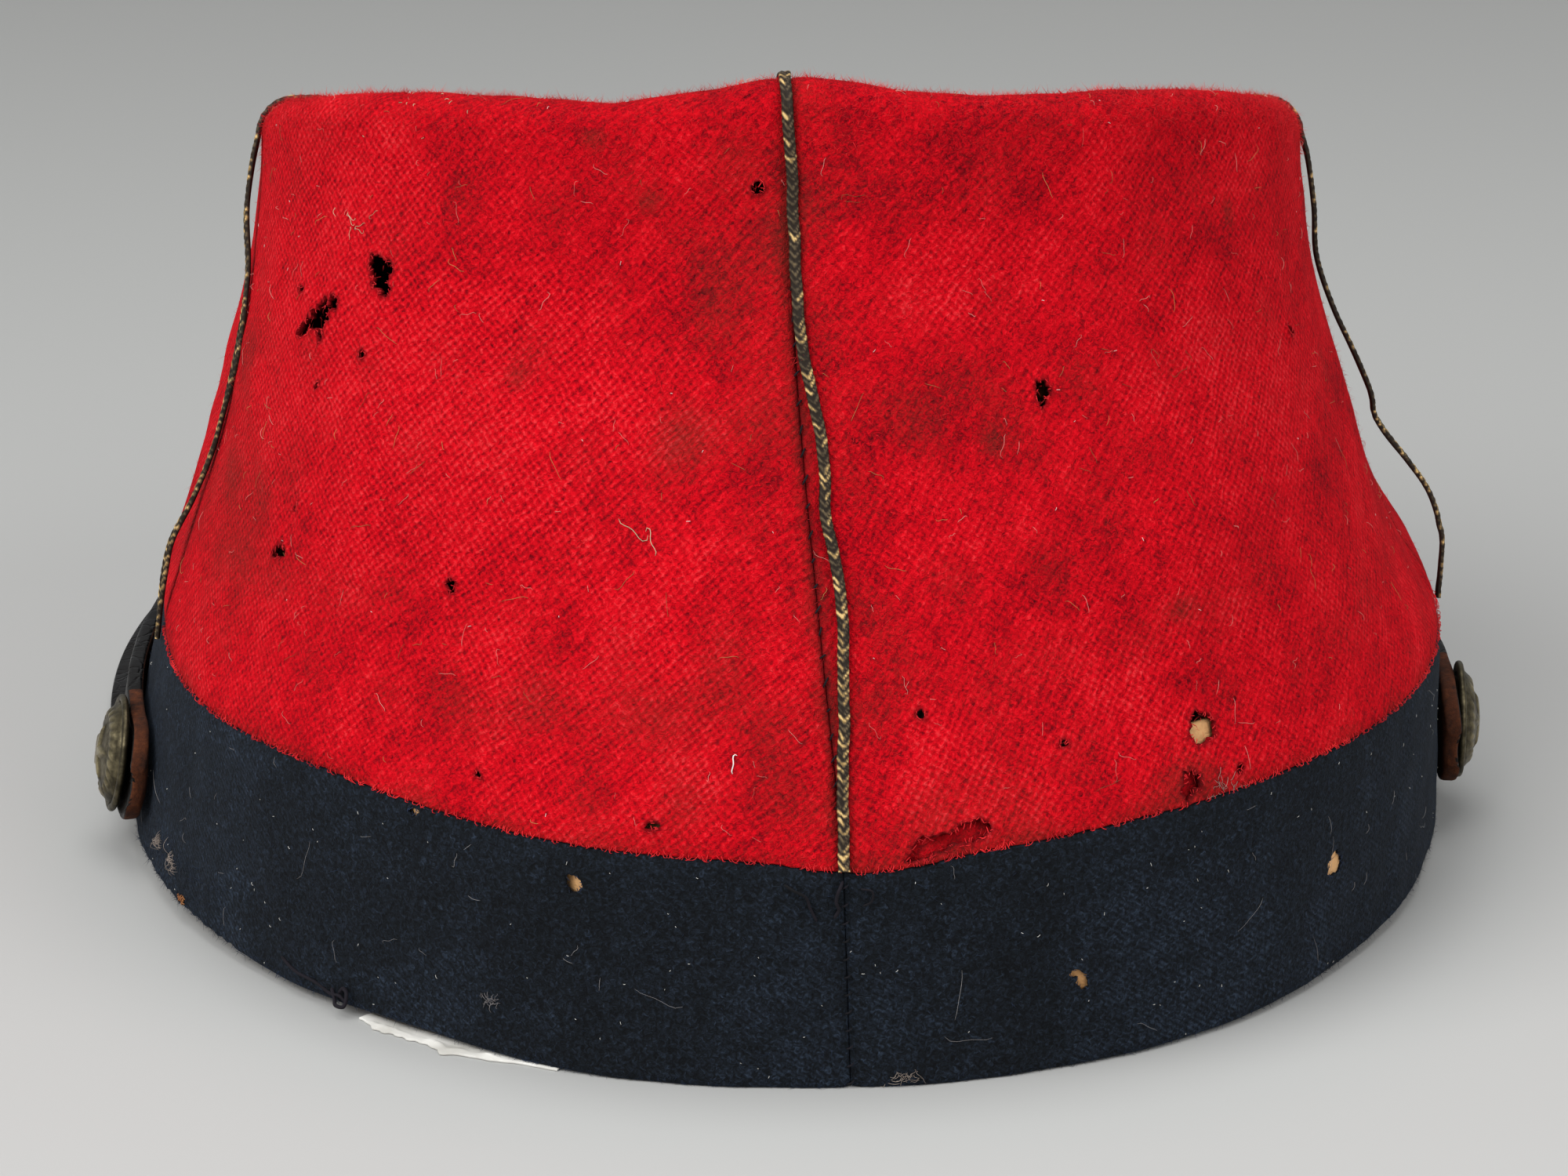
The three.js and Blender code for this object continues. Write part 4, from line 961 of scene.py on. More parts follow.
panelMaps = {name: panelPattern(name) for name in panels}


def crownPanels():
    for name, panel in panelMaps.items():
        cell = panels[name]["cell"]
        bm = flatSheet((panel.width, panel.height), (cell, cell), capSize["crownCloth"], panel.holes,
                       edgeRadius=crownWear["edgeRadius"])
        mesh = wrapMesh(bm, "scarlet_panel_" + name, panel.wrap, panel.clothMap, panel.masks)
        finishPiece("scarlet_panel_" + name, mesh, [scarlet], "scarlet_wool", "crown_" + name)


crownPanels()
print("crown panels made")


# Tip of the crown: a disc set inside the rolled rim

tipDisc = {"rings": 40, "steps": 160}


def spunShape(profile, steps):
    # A closed round form from its half profile, a row of radius and height from axis to axis
    bm = bmesh.new()
    verts = [bm.verts.new((radius, 0, height)) for radius, height in profile]
    edges = [bm.edges.new(pair) for pair in zip(verts, verts[1:])]
    bmesh.ops.spin(bm, geom=verts + edges, cent=(0, 0, 0), axis=(0, 0, 1), angle=2 * math.pi,
                   steps=steps, use_merge=True)
    bmesh.ops.remove_doubles(bm, verts=bm.verts, dist=0.001)
    bmesh.ops.recalc_face_normals(bm, faces=bm.faces)
    return bm


def crownTip():
    radius = capSize["rimHalfWidth"] - capSize["rollRadius"] - capSize["rimLip"]
    edge = 1 - capSize["seamGap"] / radius
    thickness = capSize["tipCloth"]
    line = [(0, 0)] + [(radius * edge * i / tipDisc["rings"], 0) for i in range(1, tipDisc["rings"])]
    line += [(radius * edge - 0.3, 0), (radius * edge, -0.4), (radius * edge, -thickness + 0.3),
             (radius * edge - 0.3, -thickness), (radius * 0.5, -thickness), (0, -thickness)]

    def wrap(across, up, out):
        scale = np.hypot(across, up) / radius
        angle = np.degrees(np.arctan2(up, across))
        uneven = 0.5 * ripple(across, up, 21, 30) + 0.12 * ripple(across, up, 22, 9)
        level = tipLevel(angle, scale) + out + uneven * (1 - scale ** 4)
        return overTip(angle, capSize["rollRadius"] + capSize["rimLip"], level, scale)

    def masks(across, up, out):
        rough = 0.25 * ripple(across, up, 23, 30) + 0.12 * ripple(across, up, 24, 10)
        return {"wear_and_light": 0.35 + rough, "soil": 0.2 + 0.2 * ripple(across, up, 25, 20)}

    bm = spunShape(line, tipDisc["steps"])
    mesh = wrapMesh(bm, "scarlet_tip", wrap, lambda across, up: (across, up), masks)
    finishPiece("scarlet_tip", mesh, [scarlet], "scarlet_wool", "crown_tip")


crownTip()
print("tip made")


# Navy band: one strip of twill, its seam at the back

bandCut = {"cell": 1.1, "edgeRadius": 0.5, "seamGap": 0.05, "holeThinning": 0.7}
bandHoles = (
    (68, 0.84, 2.1, 2.4, 10, 0.12), (109.5, 0.36, 1.5, 2.3, 12, 0.2),
    (108.9, 0.4, 1.6, 1.1, 0, 0.2), (137, 0.48, 3.2, 3.3, 20, 0.18),
    (53, 0.965, 1.6, 1.0, 10, 0.2),
)


class bandPattern:
    # The band's flat pattern: width is measured round the hem
    def __init__(self):
        start, end = self.seamGapAngles(0)
        angles = np.linspace(start, end, 361)
        outline = headOutline(angles, 0)
        steps = np.linalg.norm(np.diff(outline, axis=0), axis=1)
        self.angles = angles
        self.along = np.concatenate([[0], np.cumsum(steps)])
        self.width = self.along[-1]
        self.height = capSize["bandHeight"]
        self.holes = placedHoles(self, bandHoles)

    def seamGapAngles(self, share):
        return bandSeam(share, 1, bandCut["seamGap"]), bandSeam(share, -1, bandCut["seamGap"]) + 360

    def angleAt(self, across, share):
        around = np.interp(across, self.along, self.angles)
        place = (around - self.angles[0]) / (self.angles[-1] - self.angles[0])
        start, end = self.seamGapAngles(share)
        return start + (end - start) * place

    def shareAt(self, up):
        return up / self.height

    def stretchAt(self, share):
        return 1 + 0 * share

    def flatPlace(self, angle, share):
        around = self.angles[0] + np.mod(np.asarray(angle, float) - self.angles[0], 360)
        return np.interp(around, self.angles, self.along), share * self.height

    def wrap(self, across, up, out):
        share = up / self.height
        angle = self.angleAt(across, share)
        fromSeam = np.minimum(across, self.width - across)
        relief = 0.3 * ripple(across, up, 31, 45) + 0.1 * ripple(across, up, 32, 11)
        relief = relief * smoothStep(0, 5, fromSeam) * smoothStep(0, 4, self.height - up)
        pucker = 0.1 * np.sin(up * 2 * math.pi / crownWear["stitchStep"]) * fade(fromSeam, 1.5)
        valley = 0.4 * fade(fromSeam, 1.0) + 0.3 * fade(self.height - up, 1.0)
        thin = 1 - bandCut["holeThinning"] * nearHoles(self, across, up, 1.2)
        outer = 0.35 + 0.65 * np.clip(1 + out / capSize["bandCloth"], 0, 1)
        placed = bandSkin(angle, share, -out * thin - (relief + pucker - valley) * outer)
        # The hem is ragged on the left
        ragged = 0.35 + 0.4 * ripple(across, 0 * across, 35, 2.6)
        ragged = np.exp(-(angleBetween(22, angle) / 10) ** 4) * ragged
        placed[..., 2] += np.maximum(ragged, 0) * np.exp(-up / 0.8)
        return placed

    def masks(self, across, up, out):
        angle = self.angleAt(across, up / self.height)
        rough = 0.2 * ripple(across, up, 33, 30) + 0.15 * ripple(across, up, 34, 9)
        lowRight = 0.4 * fade(angleBetween(125, angle), 30) * smoothStep(1, 0.1, up / self.height)
        left = 0.22 * fade(angleBetween(22, angle), 16)
        return {"wear_and_light": 0.05 + rough + lowRight + left}


bandMap = bandPattern()


def navyBand():
    bm = flatSheet((bandMap.width, bandMap.height), (bandCut["cell"], bandCut["cell"]), capSize["bandCloth"],
                   bandMap.holes, edgeRadius=bandCut["edgeRadius"])
    mesh = wrapMesh(bm, "navy_band", bandMap.wrap, lambda across, up: (across, up), bandMap.masks)
    finishPiece("navy_band", mesh, [navy], "navy_wool", "band")


navyBand()
print("band made")


# Sweatband: a leather ring behind the band that leans in with the foot of the crown

sweatLeather = {"thickness": 1.3, "rise": 7.0, "cell": (1.5, 1.0), "holeBulge": 1.4, "bulgeReach": 1.5}


def sweatband():
    crownShare = sweatLeather["rise"] / (capSize["tipHeight"] - capSize["bandHeight"]) * capSize["wallEnd"]
    height = capSize["bandHeight"] + sweatLeather["rise"]
    size = (bandMap.width, height)
    panel = panelMaps["back_right"]
    aboveFoot = [hole for hole in panel.holes if hole["share"] > 0.05]
    bm = flatSheet(size, sweatLeather["cell"], sweatLeather["thickness"], edgeRadius=0.35, ring=True)

    def wrap(across, up, out):
        angle = 360 * across / size[0]
        rough = 0.12 * ripple(across, up, 41, 14) * smoothStep(0, 8, np.minimum(across, size[0] - across))
        depth = capSize["seamGap"] - out + np.maximum(rough, -0.1)
        over = np.clip((up - capSize["bandHeight"]) / sweatLeather["rise"], 0, 1)
        lowShare, highShare = np.clip(up / capSize["bandHeight"], 0.02, 0.98), crownShare * (0.2 + 0.8 * over)
        # It presses up into the moth holes, but not into the torn foot of the crown
        gap = np.where(over > 0, holeDistance(aboveFoot, *panel.flatPlace(angle, highShare)),
                       holeDistance(bandMap.holes, *bandMap.flatPlace(angle, lowShare)))
        bulge = sweatLeather["holeBulge"] * fade(np.maximum(gap, 0), sweatLeather["bulgeReach"])
        low = bandSkin(angle, lowShare, capSize["bandCloth"] + depth - bulge)
        high = crownSkin(angle, highShare, capSize["crownCloth"] + depth - bulge)
        return np.where(column(over) > 0, high, low)

    mesh = wrapMesh(bm, "tan_sweatband", wrap, ring=True, sharpAngle=60)
    finishPiece("tan_sweatband", mesh, [tan], "tan_leather", "sweatband")


sweatband()
print("sweatband made")


# Turned-in cloth of the crown's foot: shows dark red through the torn seam

allowance = {"start": 1.0, "endAngle": 128.0, "height": 4.6, "thickness": 0.25, "depth": 1.72, "bulge": 0.8}


def seamAllowance():
    panel = panelMaps["back_right"]
    length = panel.flatPlace(allowance["endAngle"], 0.03)[0] - allowance["start"]
    bm = flatSheet((length, allowance["height"]), (0.8, 0.6), allowance["thickness"], edgeRadius=0.08)

    def wrap(across, up, out):
        across = across + allowance["start"]
        share = panel.shareAt(up)
        depth = allowance["depth"] - allowance["bulge"] * nearHoles(panel, across, up, 1.3)
        uneven = 0.12 * ripple(across, up, 45, 4)
        return crownSkin(panel.angleAt(across / panel.width, share), share, depth - out + uneven)

    def masks(across, up, out):
        # Darkened all over: dust, and painted shade of the cloth turned in under the seam
        return {"wear_and_light": 0.1 + 0 * up, "soil": 0.3 + 0 * up, "torn_and_shade": 0.25 + 0 * up}

    mesh = wrapMesh(bm, "scarlet_seam_allowance", wrap, lambda across, up: (across, up), masks)
    finishPiece("scarlet_seam_allowance", mesh, [scarlet], "scarlet_wool")


seamAllowance()
print("seam allowance made")


# Peak: black leather with a rolled binding round its outer edge

peakCut = {
    "standOut": 4.6,
    "cornerAngle": 2.0,
    "cornerTaper": 30.0,
    "taperShare": 0.12,
    "binding": 3.1,
    "bindingRise": 0.3,
    "length": 270.0,
}


def peakEdge(share):
    corner = headOutline(-peakCut["cornerAngle"], 0)
    halfWidth = capSize["halfWidth"] + peakCut["standOut"]
    taper = peakCut["taperShare"]
    turnAt = corner[1] - peakCut["cornerTaper"]
    fromEnd = np.minimum(share, 1 - share)
    along = np.clip(fromEnd / taper, 0, 1)
    widen = np.sin(along * math.pi / 2)
    across = (corner[0] + capSize["bandCloth"]) * (1 - widen) + halfWidth * widen
    side = np.where(share < 0.5, -1, 1)
    cornerPart = np.stack([side * across, corner[1] - peakCut["cornerTaper"] * along], axis=-1)
    sweep = (share - 0.5) / (0.5 - taper) * math.pi / 2
    forward = capSize["frontReach"] + capSize["peakReach"] + turnAt
    frontPart = np.stack([halfWidth * np.sin(sweep), turnAt - forward * np.cos(sweep)], axis=-1)
    return np.where(column(fromEnd < taper) > 0, cornerPart, frontPart)


def peakPoint(share, out, depth):
    outer = peakEdge(share)
    inner = headOutline(180 + peakCut["cornerAngle"] + (180 - 2 * peakCut["cornerAngle"]) * share,
                        -capSize["bandCloth"] + 0 * share)
    reach = np.linalg.norm(outer - inner, axis=-1)
    flat = inner + (outer - inner) * column(out)
    drop = reach * out * math.tan(math.radians(capSize["peakSlope"]))
    return np.concatenate([flat, column(-capSize["seamGap"] - depth - drop)], axis=-1), reach


def peak():
    size = (peakCut["length"], capSize["peakReach"])
    bm = flatSheet(size, (1.35, 1.0), capSize["peakLeather"], edgeRadius=0.5)

    def wrap(across, up, out):
        share, outShare = across / size[0], up / size[1]
        reach = peakPoint(share, outShare, 0)[1]
        fromEdge = (1 - outShare) * reach
        bound = smoothStep(peakCut["binding"] + 0.5, peakCut["binding"] - 0.2, fromEdge)
        side = 1 + 2 * out / capSize["peakLeather"]
        crease = 0.25 * fade(fromEdge - peakCut["binding"] - 0.3, 0.5)
        uneven = 0.12 * ripple(across, up, 51, 22) * smoothStep(0, 4, up)
        lift = (bound * peakCut["bindingRise"] - crease) * np.clip(side, 0, 1) + np.abs(uneven)
        return peakPoint(share, outShare, -out - lift)[0]

    mesh = wrapMesh(bm, "leather_peak", wrap, sharpAngle=60)
    finishPiece("leather_peak", mesh, [enamelled], "black_leather", "peak")


peak()
print("peak made")


# Chin strap: one strip from a tail behind one button, round the front, to the other tail

strapCut = {
    "width": 15.0,
    "thickness": 2.0,
    "tail": 9.5,
    "frontHeight": 8.4,
    "bow": 2.6,
    "endRoundness": 0.9,
    "endBluntness": 0.12,
    "slideAngle": 292.0,
    "slideRoom": 1.3,
    "bareFrom": 0.0025,
}
buttonCut = {
    "height": 10.8,
    "setback": 9.0,
    "radius": 7.4,
    "dome": 3.0,
    "rim": 0.9,
    "relief": 0.35,
    "plate": 0.8,
    "shank": 1.6,
    "shankRoom": 0.4,
    "clearance": 0.3,
    "faceSteps": 120,
    "plateSteps": 48,
    "domeShare": 0.86,
    "domeInset": 0.25,
    "starPoints": 5,
    "starReach": 0.6,
    "leaves": 12,
    "wreathPlace": 0.8,
}
strapTable = {
    "ahead": (-2, -1.1, 0, 1.1, 4.6, 11),
    "left": (1.1, 0.15, 0.15, 0.15, 0.05, 0),
    "right": (1, 0.1, 0.1, 0.1, 0.05, 0),
}
buttonAngle = math.degrees(math.asin(buttonCut["setback"] / capSize["backReach"]))
arcPerDegree = capSize["halfWidth"] * math.pi / 180


def strapMiddle(angle):
    fromFront = np.clip(angleBetween(seamAngles["front"], angle), -90, 90)
    fallen = np.minimum(1, np.cos(np.radians(fromFront)) * 1.4)
    return buttonCut["height"] * (1 - fallen) + strapCut["frontHeight"] * fallen


def strapStand(angle):
    fromFront = angleBetween(seamAngles["front"], angle)
    ahead = (90 + buttonAngle - np.abs(fromFront)) * arcPerDegree / buttonCut["radius"]
    left, right = readTable(strapTable, "left", ahead), readTable(strapTable, "right", ahead)
    nearSlide = np.exp(-((angleBetween(strapCut["slideAngle"], angle) / 9) ** 4))
    stand = strapCut["bow"] * np.where(fromFront > 0, left, right)
    return capSize["seamGap"] + stand + strapCut["slideRoom"] * nearSlide


def strapPoint(angle, up, depth):
    share = (strapMiddle(angle) + up) / capSize["bandHeight"]
    return bandSkin(angle, share, -strapStand(angle) - depth)


def strapFrame(angle, depth):
    # Columns: side, up and out, with the origin at a depth on the strap's middle line
    up = unit(strapPoint(angle, 1, 0) - strapPoint(angle, -1, 0))
    side = unit(np.cross(up, levelNormal(angle)))
    return np.stack([side, up, np.cross(side, up)], axis=1), strapPoint(angle, 0, depth)


def chinStrap():
    tail = strapCut["tail"] / arcPerDegree
    start, end = buttonAngle + tail, -180 - buttonAngle - tail
    size = ((start - end) * arcPerDegree, strapCut["width"])
    half = strapCut["width"] / 2
    holeSize = 2 * (buttonCut["shank"] + buttonCut["shankRoom"])
    holes = [{"centre": (x, half), "stretch": 1.0, "wide": holeSize, "tall": holeSize, "turn": 0, "rag": 0}
             for x in (strapCut["tail"], size[0] - strapCut["tail"])]
    bm = flatSheet(size, (1.1, 0.9), strapCut["thickness"], holes, edgeRadius=0.5)

    def wrap(across, up, out):
        angle = start - across / arcPerDegree
        fromEnd = np.minimum(across, size[0] - across)
        turned = np.clip(fromEnd / (half * strapCut["endRoundness"]), 0, 1)
        bluntness = strapCut["endBluntness"]
        narrow = np.sqrt(bluntness + (1 - bluntness) * (1 - (1 - turned) ** 2))
        fromSide = np.minimum(up, size[1] - up)
        outer = np.clip(1 + out / strapCut["thickness"], 0, 1)
        crease = 0.2 * fade(fromSide - 1.5, 0.35) * outer
        uneven = 0.08 * ripple(across, up, 61, 12) * outer
        curl = 0.5 * fade(fromEnd, 5) * (2 * up / size[1] - 1) ** 2
        return strapPoint(angle, (up - half) * narrow, strapCut["thickness"] + out - crease + uneven + curl)

    mesh = wrapMesh(bm, "leather_chin_strap", wrap, sharpAngle=60)
    headCentre = toFrame(np.array([[0.0, 0.0, 0.0]]))[0]
    # The flesh side is bare all along, and so is the cut edge at each tail
    inner = []
    for face in mesh.polygons:
        away = Vector(face.center) - Vector(headCentre)
        outward = face.normal.dot(Vector((away.x, away.y, 0)).normalized())
        inner.append(1 if outward < (0.55 if away.y > strapCut["bareFrom"] else -0.45) else 0)
    finishPiece("leather_chin_strap", mesh, [enamelled, flesh], "black_leather", "chin_strap")
    mesh.polygons.foreach_set("material_index", inner)


chinStrap()
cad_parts["strap_slide"].data.materials.clear()
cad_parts["strap_slide"].data.materials.append(brass)
print("chin strap made")


# Side buttons: a domed face with a star in a leaf wreath, and a plate with the shank behind it

def turnedMesh(name, profile, steps, relief, turnAndPlace):
    basis, origin = turnAndPlace

    def wrap(across, up, out):
        local = np.stack([across, up, out + relief(across, up, out)], axis=-1)
        return local @ basis.T + origin

    def masks(across, up, out):
        return {"raised": relief(across, up, out) / buttonCut["relief"] + 0.2}

    return wrapMesh(spunShape(profile, steps), name, wrap, masks=masks, sharpAngle=35)


def buttons():
    radius, dome, rim = buttonCut["radius"], buttonCut["dome"], buttonCut["rim"]
    ring = radius * buttonCut["domeShare"]
    for side, angle in (("left", buttonAngle), ("right", 180 - buttonAngle)):
        stand = float(strapStand(angle))
        seat = stand + strapCut["thickness"] + buttonCut["clearance"]
        recess = seat + buttonCut["plate"] * 0.5
        rimTop = seat + rim
        sweep = np.linspace(0, math.pi / 2, 30)
        domeFoot = rimTop - buttonCut["domeInset"]
        domeLine = [(ring * math.cos(a), domeFoot + (dome - rim) * math.sin(a) ** 1.15) for a in sweep]
        roll = [(ring + (radius - ring) / 2 * (1 + math.cos(a)), seat + rim / 2 + rim / 2 * math.sin(a))
                for a in np.linspace(-math.pi / 2, math.pi * 0.9, 12)]
        profile = [(0, recess), (radius * 0.8, recess), (radius * 0.84, seat + 0.1)] + roll + domeLine[:-1]
        profile += [(0, domeFoot + dome - rim)]

        def relief(across, up, out, floor=rimTop - 0.2):
            far = np.hypot(across, up) / ring
            turn = np.arctan2(up, across) - math.pi / 2
            point = np.abs(np.mod(turn / (2 * math.pi) * buttonCut["starPoints"] + 0.5, 1) - 0.5) * 2
            edge = buttonCut["starReach"] / (1 + 1.35 * point)
            star = np.clip((edge - far) / 0.12, 0, 1)
            wreath = np.clip(1 - (far - buttonCut["wreathPlace"]) ** 2 / 0.012, 0, 1)
            leaf = np.abs(np.sin(turn * buttonCut["leaves"] + 9 * far)) * wreath
            onFace = (out > floor) & (far < 0.97)
            return np.where(onFace, buttonCut["relief"] * (star + 0.75 * leaf), 0.0)

        placed = strapFrame(angle, -stand)
        mesh = turnedMesh("button_face_" + side, profile, buttonCut["faceSteps"], relief, placed)
        finishPiece("button_face_" + side, mesh, [brass], "aged_brass", "button_" + side)
        top = recess - buttonCut["clearance"]
        shank, thick = buttonCut["shank"], buttonCut["plate"]
        back = [(0, capSize["seamGap"]), (shank - 0.2, capSize["seamGap"]), (shank, capSize["seamGap"] + 0.2),
                (shank, top - thick * 0.45), (shank + 0.25, top - thick * 0.3),
                (radius * 0.7, top - thick * 0.2), (radius * 0.74, top - 0.05), (radius * 0.73, top),
                (0, top)]
        plate = turnedMesh("button_plate_" + side, back, buttonCut["plateSteps"],
                           lambda across, up, out: 0 * out, placed)
        finishPiece("button_plate_" + side, plate, [brass], "aged_brass", "button_back_" + side)


buttons()
print("buttons made")


# Braid: flat two-ribbed soutache on the seams

braidCut = {
    "width": 1.34,
    "thickness": 0.7,
    "slack": 5.3,
    "strandStep": 1.0,
    "strandSlope": 0.8,
    "strandRelief": 0.09,
    "ribRise": 0.62,
    "groove": 0.3,
    "middle": 0.35,
    "underside": 0.33,
    "step": 0.29,
    "around": 22,
    "stand": 0.06,
    "tuck": {"back": 0, "front": 0, "left": 1.6, "right": 1.9},
    "goldShare": 0.22,
    "goldAtEnds": 0.46,
}


def braidWay(name, crossing):
    step = np.linspace(0, 1, 700)
    share = 2 * step ** 0.85
    height = np.minimum(share / capSize["wallEnd"], 1)
    slack = braidCut["slack"] * readTable(braidTables[name], "lift", height)
    slack = np.where(share < capSize["wallEnd"], slack, 0)
    toMiddle = (2 - share) * capSize["rimHalfWidth"] / braidCut["width"]
    over = np.where(share > 1, crossing * fade(toMiddle, 1.6), 0)
    angle = driftedAngle(name, braidTables, np.minimum(share, 1))
    normal = crownNormal(angle, share)
    stand = braidCut["stand"] + np.maximum(slack, 0) + over
    way = crownPoint(angle, share) + normal * column(stand)
    # The side braids end over the band's top edge
    tuck = braidCut["tuck"][name]
    if tuck:
        low = bandSkin(angle[:1], 1 - np.array([tuck, tuck / 2]) / capSize["bandHeight"], -braidCut["stand"])
        way, normal = np.concatenate([low, way]), np.concatenate([normal[:1], normal[:1], normal])
    return way, normal


def readRows(where, places, rows):
    return np.stack([np.interp(where, places, rows[:, k]) for k in range(3)], axis=-1)


def braidOver(name, start, end, crossing, node):
    upPoints, upNormals = braidWay(start, crossing)
    downPoints, downNormals = braidWay(end, crossing)
    points = np.concatenate([upPoints, downPoints[::-1][1:]])
    normals = np.concatenate([upNormals, downNormals[::-1][1:]])
    gaps = np.linalg.norm(np.diff(points, axis=0), axis=1)
    along = np.concatenate([[0], np.cumsum(gaps)])
    length, width, thick = along[-1], braidCut["width"], braidCut["thickness"]
    stops = np.arange(0, length, 1.2)
    smooth = readRows(stops, along, points)
    ways = unit(np.gradient(smooth, axis=0))
    rights = unit(np.cross(ways, readRows(stops, along, normals)))
    ups = unit(np.cross(rights, ways))

    bm = bmesh.new()
    bmesh.ops.create_grid(bm, x_segments=round(length / braidCut["step"]), y_segments=braidCut["around"],
                          size=0.5)
    bmesh.ops.scale(bm, vec=(length, 1, 1), verts=bm.verts)
    bmesh.ops.translate(bm, vec=(length / 2, 0.5, 0), verts=bm.verts)

    def section(across, up):
        turn = 2 * math.pi * up
        side = np.cos(turn) * width / 2
        groove = 1 - braidCut["groove"] * fade(side, 0.2)
        top = np.sin(turn) > 0
        ribs = np.sqrt(np.abs(np.sin(turn)))
        level = thick * (braidCut["middle"] + np.where(top, braidCut["ribRise"] * ribs * groove,
                                                       braidCut["underside"] * np.sin(turn)))
        wave = (across / braidCut["strandStep"] - np.abs(side) / braidCut["strandSlope"]
                + 0.16 * ripple(across, side, 74, 1.7))
        strand = 0.5 + 0.5 * np.sin(2 * math.pi * wave)
        level = level + np.where(top, braidCut["strandRelief"] * strand * ribs, 0)
        return side * (1 + 0.04 * strand), level, strand * np.where(top, 1, 0.4)

    def wrap(across, up, out):
        side, level, _ = section(across, up)
        wobble = 0.12 * ripple(across, 0 * across, 71, 7)
        twist = 0.25 * ripple(across, 0 * across, 72, 16)
        right, high, middle = (readRows(across, stops, rows) for rows in (rights, ups, smooth))
        leaning = high * column(np.cos(twist)) + right * column(np.sin(twist))
        flat = right * column(np.cos(twist)) - high * column(np.sin(twist))
        return middle + flat * column(side + wobble) + leaning * column(level)

    def masks(across, up, out):
        strand = section(across, up)[2]
        draws = np.random.default_rng(73)
        cells = draws.uniform(0, 1, (int(length / braidCut["strandStep"]) + 4, 2))
        turn = 2 * math.pi * up
        sideways = np.abs(np.cos(turn)) * width / 2 / braidCut["strandSlope"]
        strandCount = across / braidCut["strandStep"] - sideways + 1.25
        kept = cells[np.clip(strandCount.astype(int), 0, len(cells) - 1), (np.cos(turn) > 0).astype(int)]
        low = smoothStep(60, 10, np.minimum(across, length - across))
        wear_and_light = 0.85 + 0.3 * ripple(across, 0 * across, 75, 5)
        golden, dull = 0.6 + 0.5 * np.mod(kept * 13, 1), 0.12 + 0.16 * np.mod(kept * 7, 1)
        goldShare = braidCut["goldShare"] + braidCut["goldAtEnds"] * low
        return {"raised": strand ** 2.2, "bright": np.where(kept < goldShare, golden, dull) * wear_and_light}

    mesh = wrapMesh(bm, name, wrap, masks=masks)
    bm = bmesh.new()
    bm.from_mesh(mesh)
    bmesh.ops.remove_doubles(bm, verts=bm.verts, dist=0.00001)
    ends = [edge for edge in bm.edges if edge.is_boundary]
    bmesh.ops.holes_fill(bm, edges=ends, sides=0)
    bmesh.ops.recalc_face_normals(bm, faces=bm.faces)
    bm.to_mesh(mesh)
    bm.free()
    finishPiece(name, shaded(mesh, 70), [gilt], "tarnished_braid", node)


braidOver("gilt_braid_lengthwise", "back", "front", 0, "braid_lengthwise")
braidOver("gilt_braid_crosswise", "left", "right", braidCut["thickness"] + capSize["seamGap"],
          "braid_crosswise")
print("braid made")


# Threads, stitches and hairs, drawn as thin curves and then made a mesh

fibreEnds = {"taper": 0.45, "hairsAboveTable": 0.0002, "napAboveTable": 0.0001}


def threadPiece(name, ways, radius, material, slotName, sides=1):
    curve = bpy.data.curves.new(name, "CURVE")
    curve.dimensions = "3D"
    curve.bevel_depth = radius / 1000
    curve.bevel_resolution = sides
    curve.use_fill_caps = True
    for points in ways:
        line = curve.splines.new("POLY")
        line.points.add(len(points) - 1)
        line.points.foreach_set("co", np.concatenate([points, np.ones((len(points), 1))], axis=1).ravel())
        taper = np.full(len(points), 1.0)
        taper[[0, -1]] = fibreEnds["taper"]
        line.points.foreach_set("radius", taper)
    drawn = bpy.data.objects.new(name + "_line", curve)
    bpy.context.scene.collection.objects.link(drawn)
    bpy.context.view_layer.update()
    mesh = bpy.data.meshes.new_from_object(drawn)
    bpy.data.objects.remove(drawn)
    bpy.data.curves.remove(curve)
    mesh.name = name
    mesh.materials.clear()
    return finishPiece(name, shaded(mesh), [material], slotName)


def flatHairs(cloth, across, up, length, heading, bend, lift, points=8):
    # Curved hairs on a cloth, from a place in its flat pattern and a heading in radians; lengths in mm
    along = np.linspace(0, 1, points)
    turn = column(heading) + column(bend) * (along - 0.5 + 0.3 * np.sin(5 * along))
    step = column(length) / points
    x = column(across) + np.cumsum(np.cos(turn) * step, axis=-1) / column(cloth.stretchAt(cloth.shareAt(up)))
    y = column(up) + np.cumsum(np.sin(turn) * step, axis=-1)
    x, y = np.clip(x, 0.1, cloth.width - 0.1), np.clip(y, 0.2, cloth.height - 0.1)
    rise = 0.05 + column(lift) * np.sin(np.pi * along)
    places = toFrame(cloth.wrap(x.ravel(), y.ravel(), rise.ravel()))
    places[:, 2] = np.maximum(places[:, 2], fibreEnds["hairsAboveTable"])
    return list(places.reshape(-1, points, 3))


def scatteredHairs(cloth, count, seed, lengthRange, bendRange, liftMost, acrossRange=(0, 1)):
    draws = np.random.default_rng(seed)
    across = draws.uniform(*acrossRange, count) * cloth.width
    up = draws.uniform(0.02, 0.97, count) * cloth.height
    length = lengthRange[0] + (lengthRange[1] - lengthRange[0]) * draws.uniform(0, 1, count) ** 2
    return flatHairs(cloth, across, up, length, draws.uniform(0, 2 * math.pi, count),
                     draws.uniform(*bendRange, count), draws.uniform(0, liftMost, count))


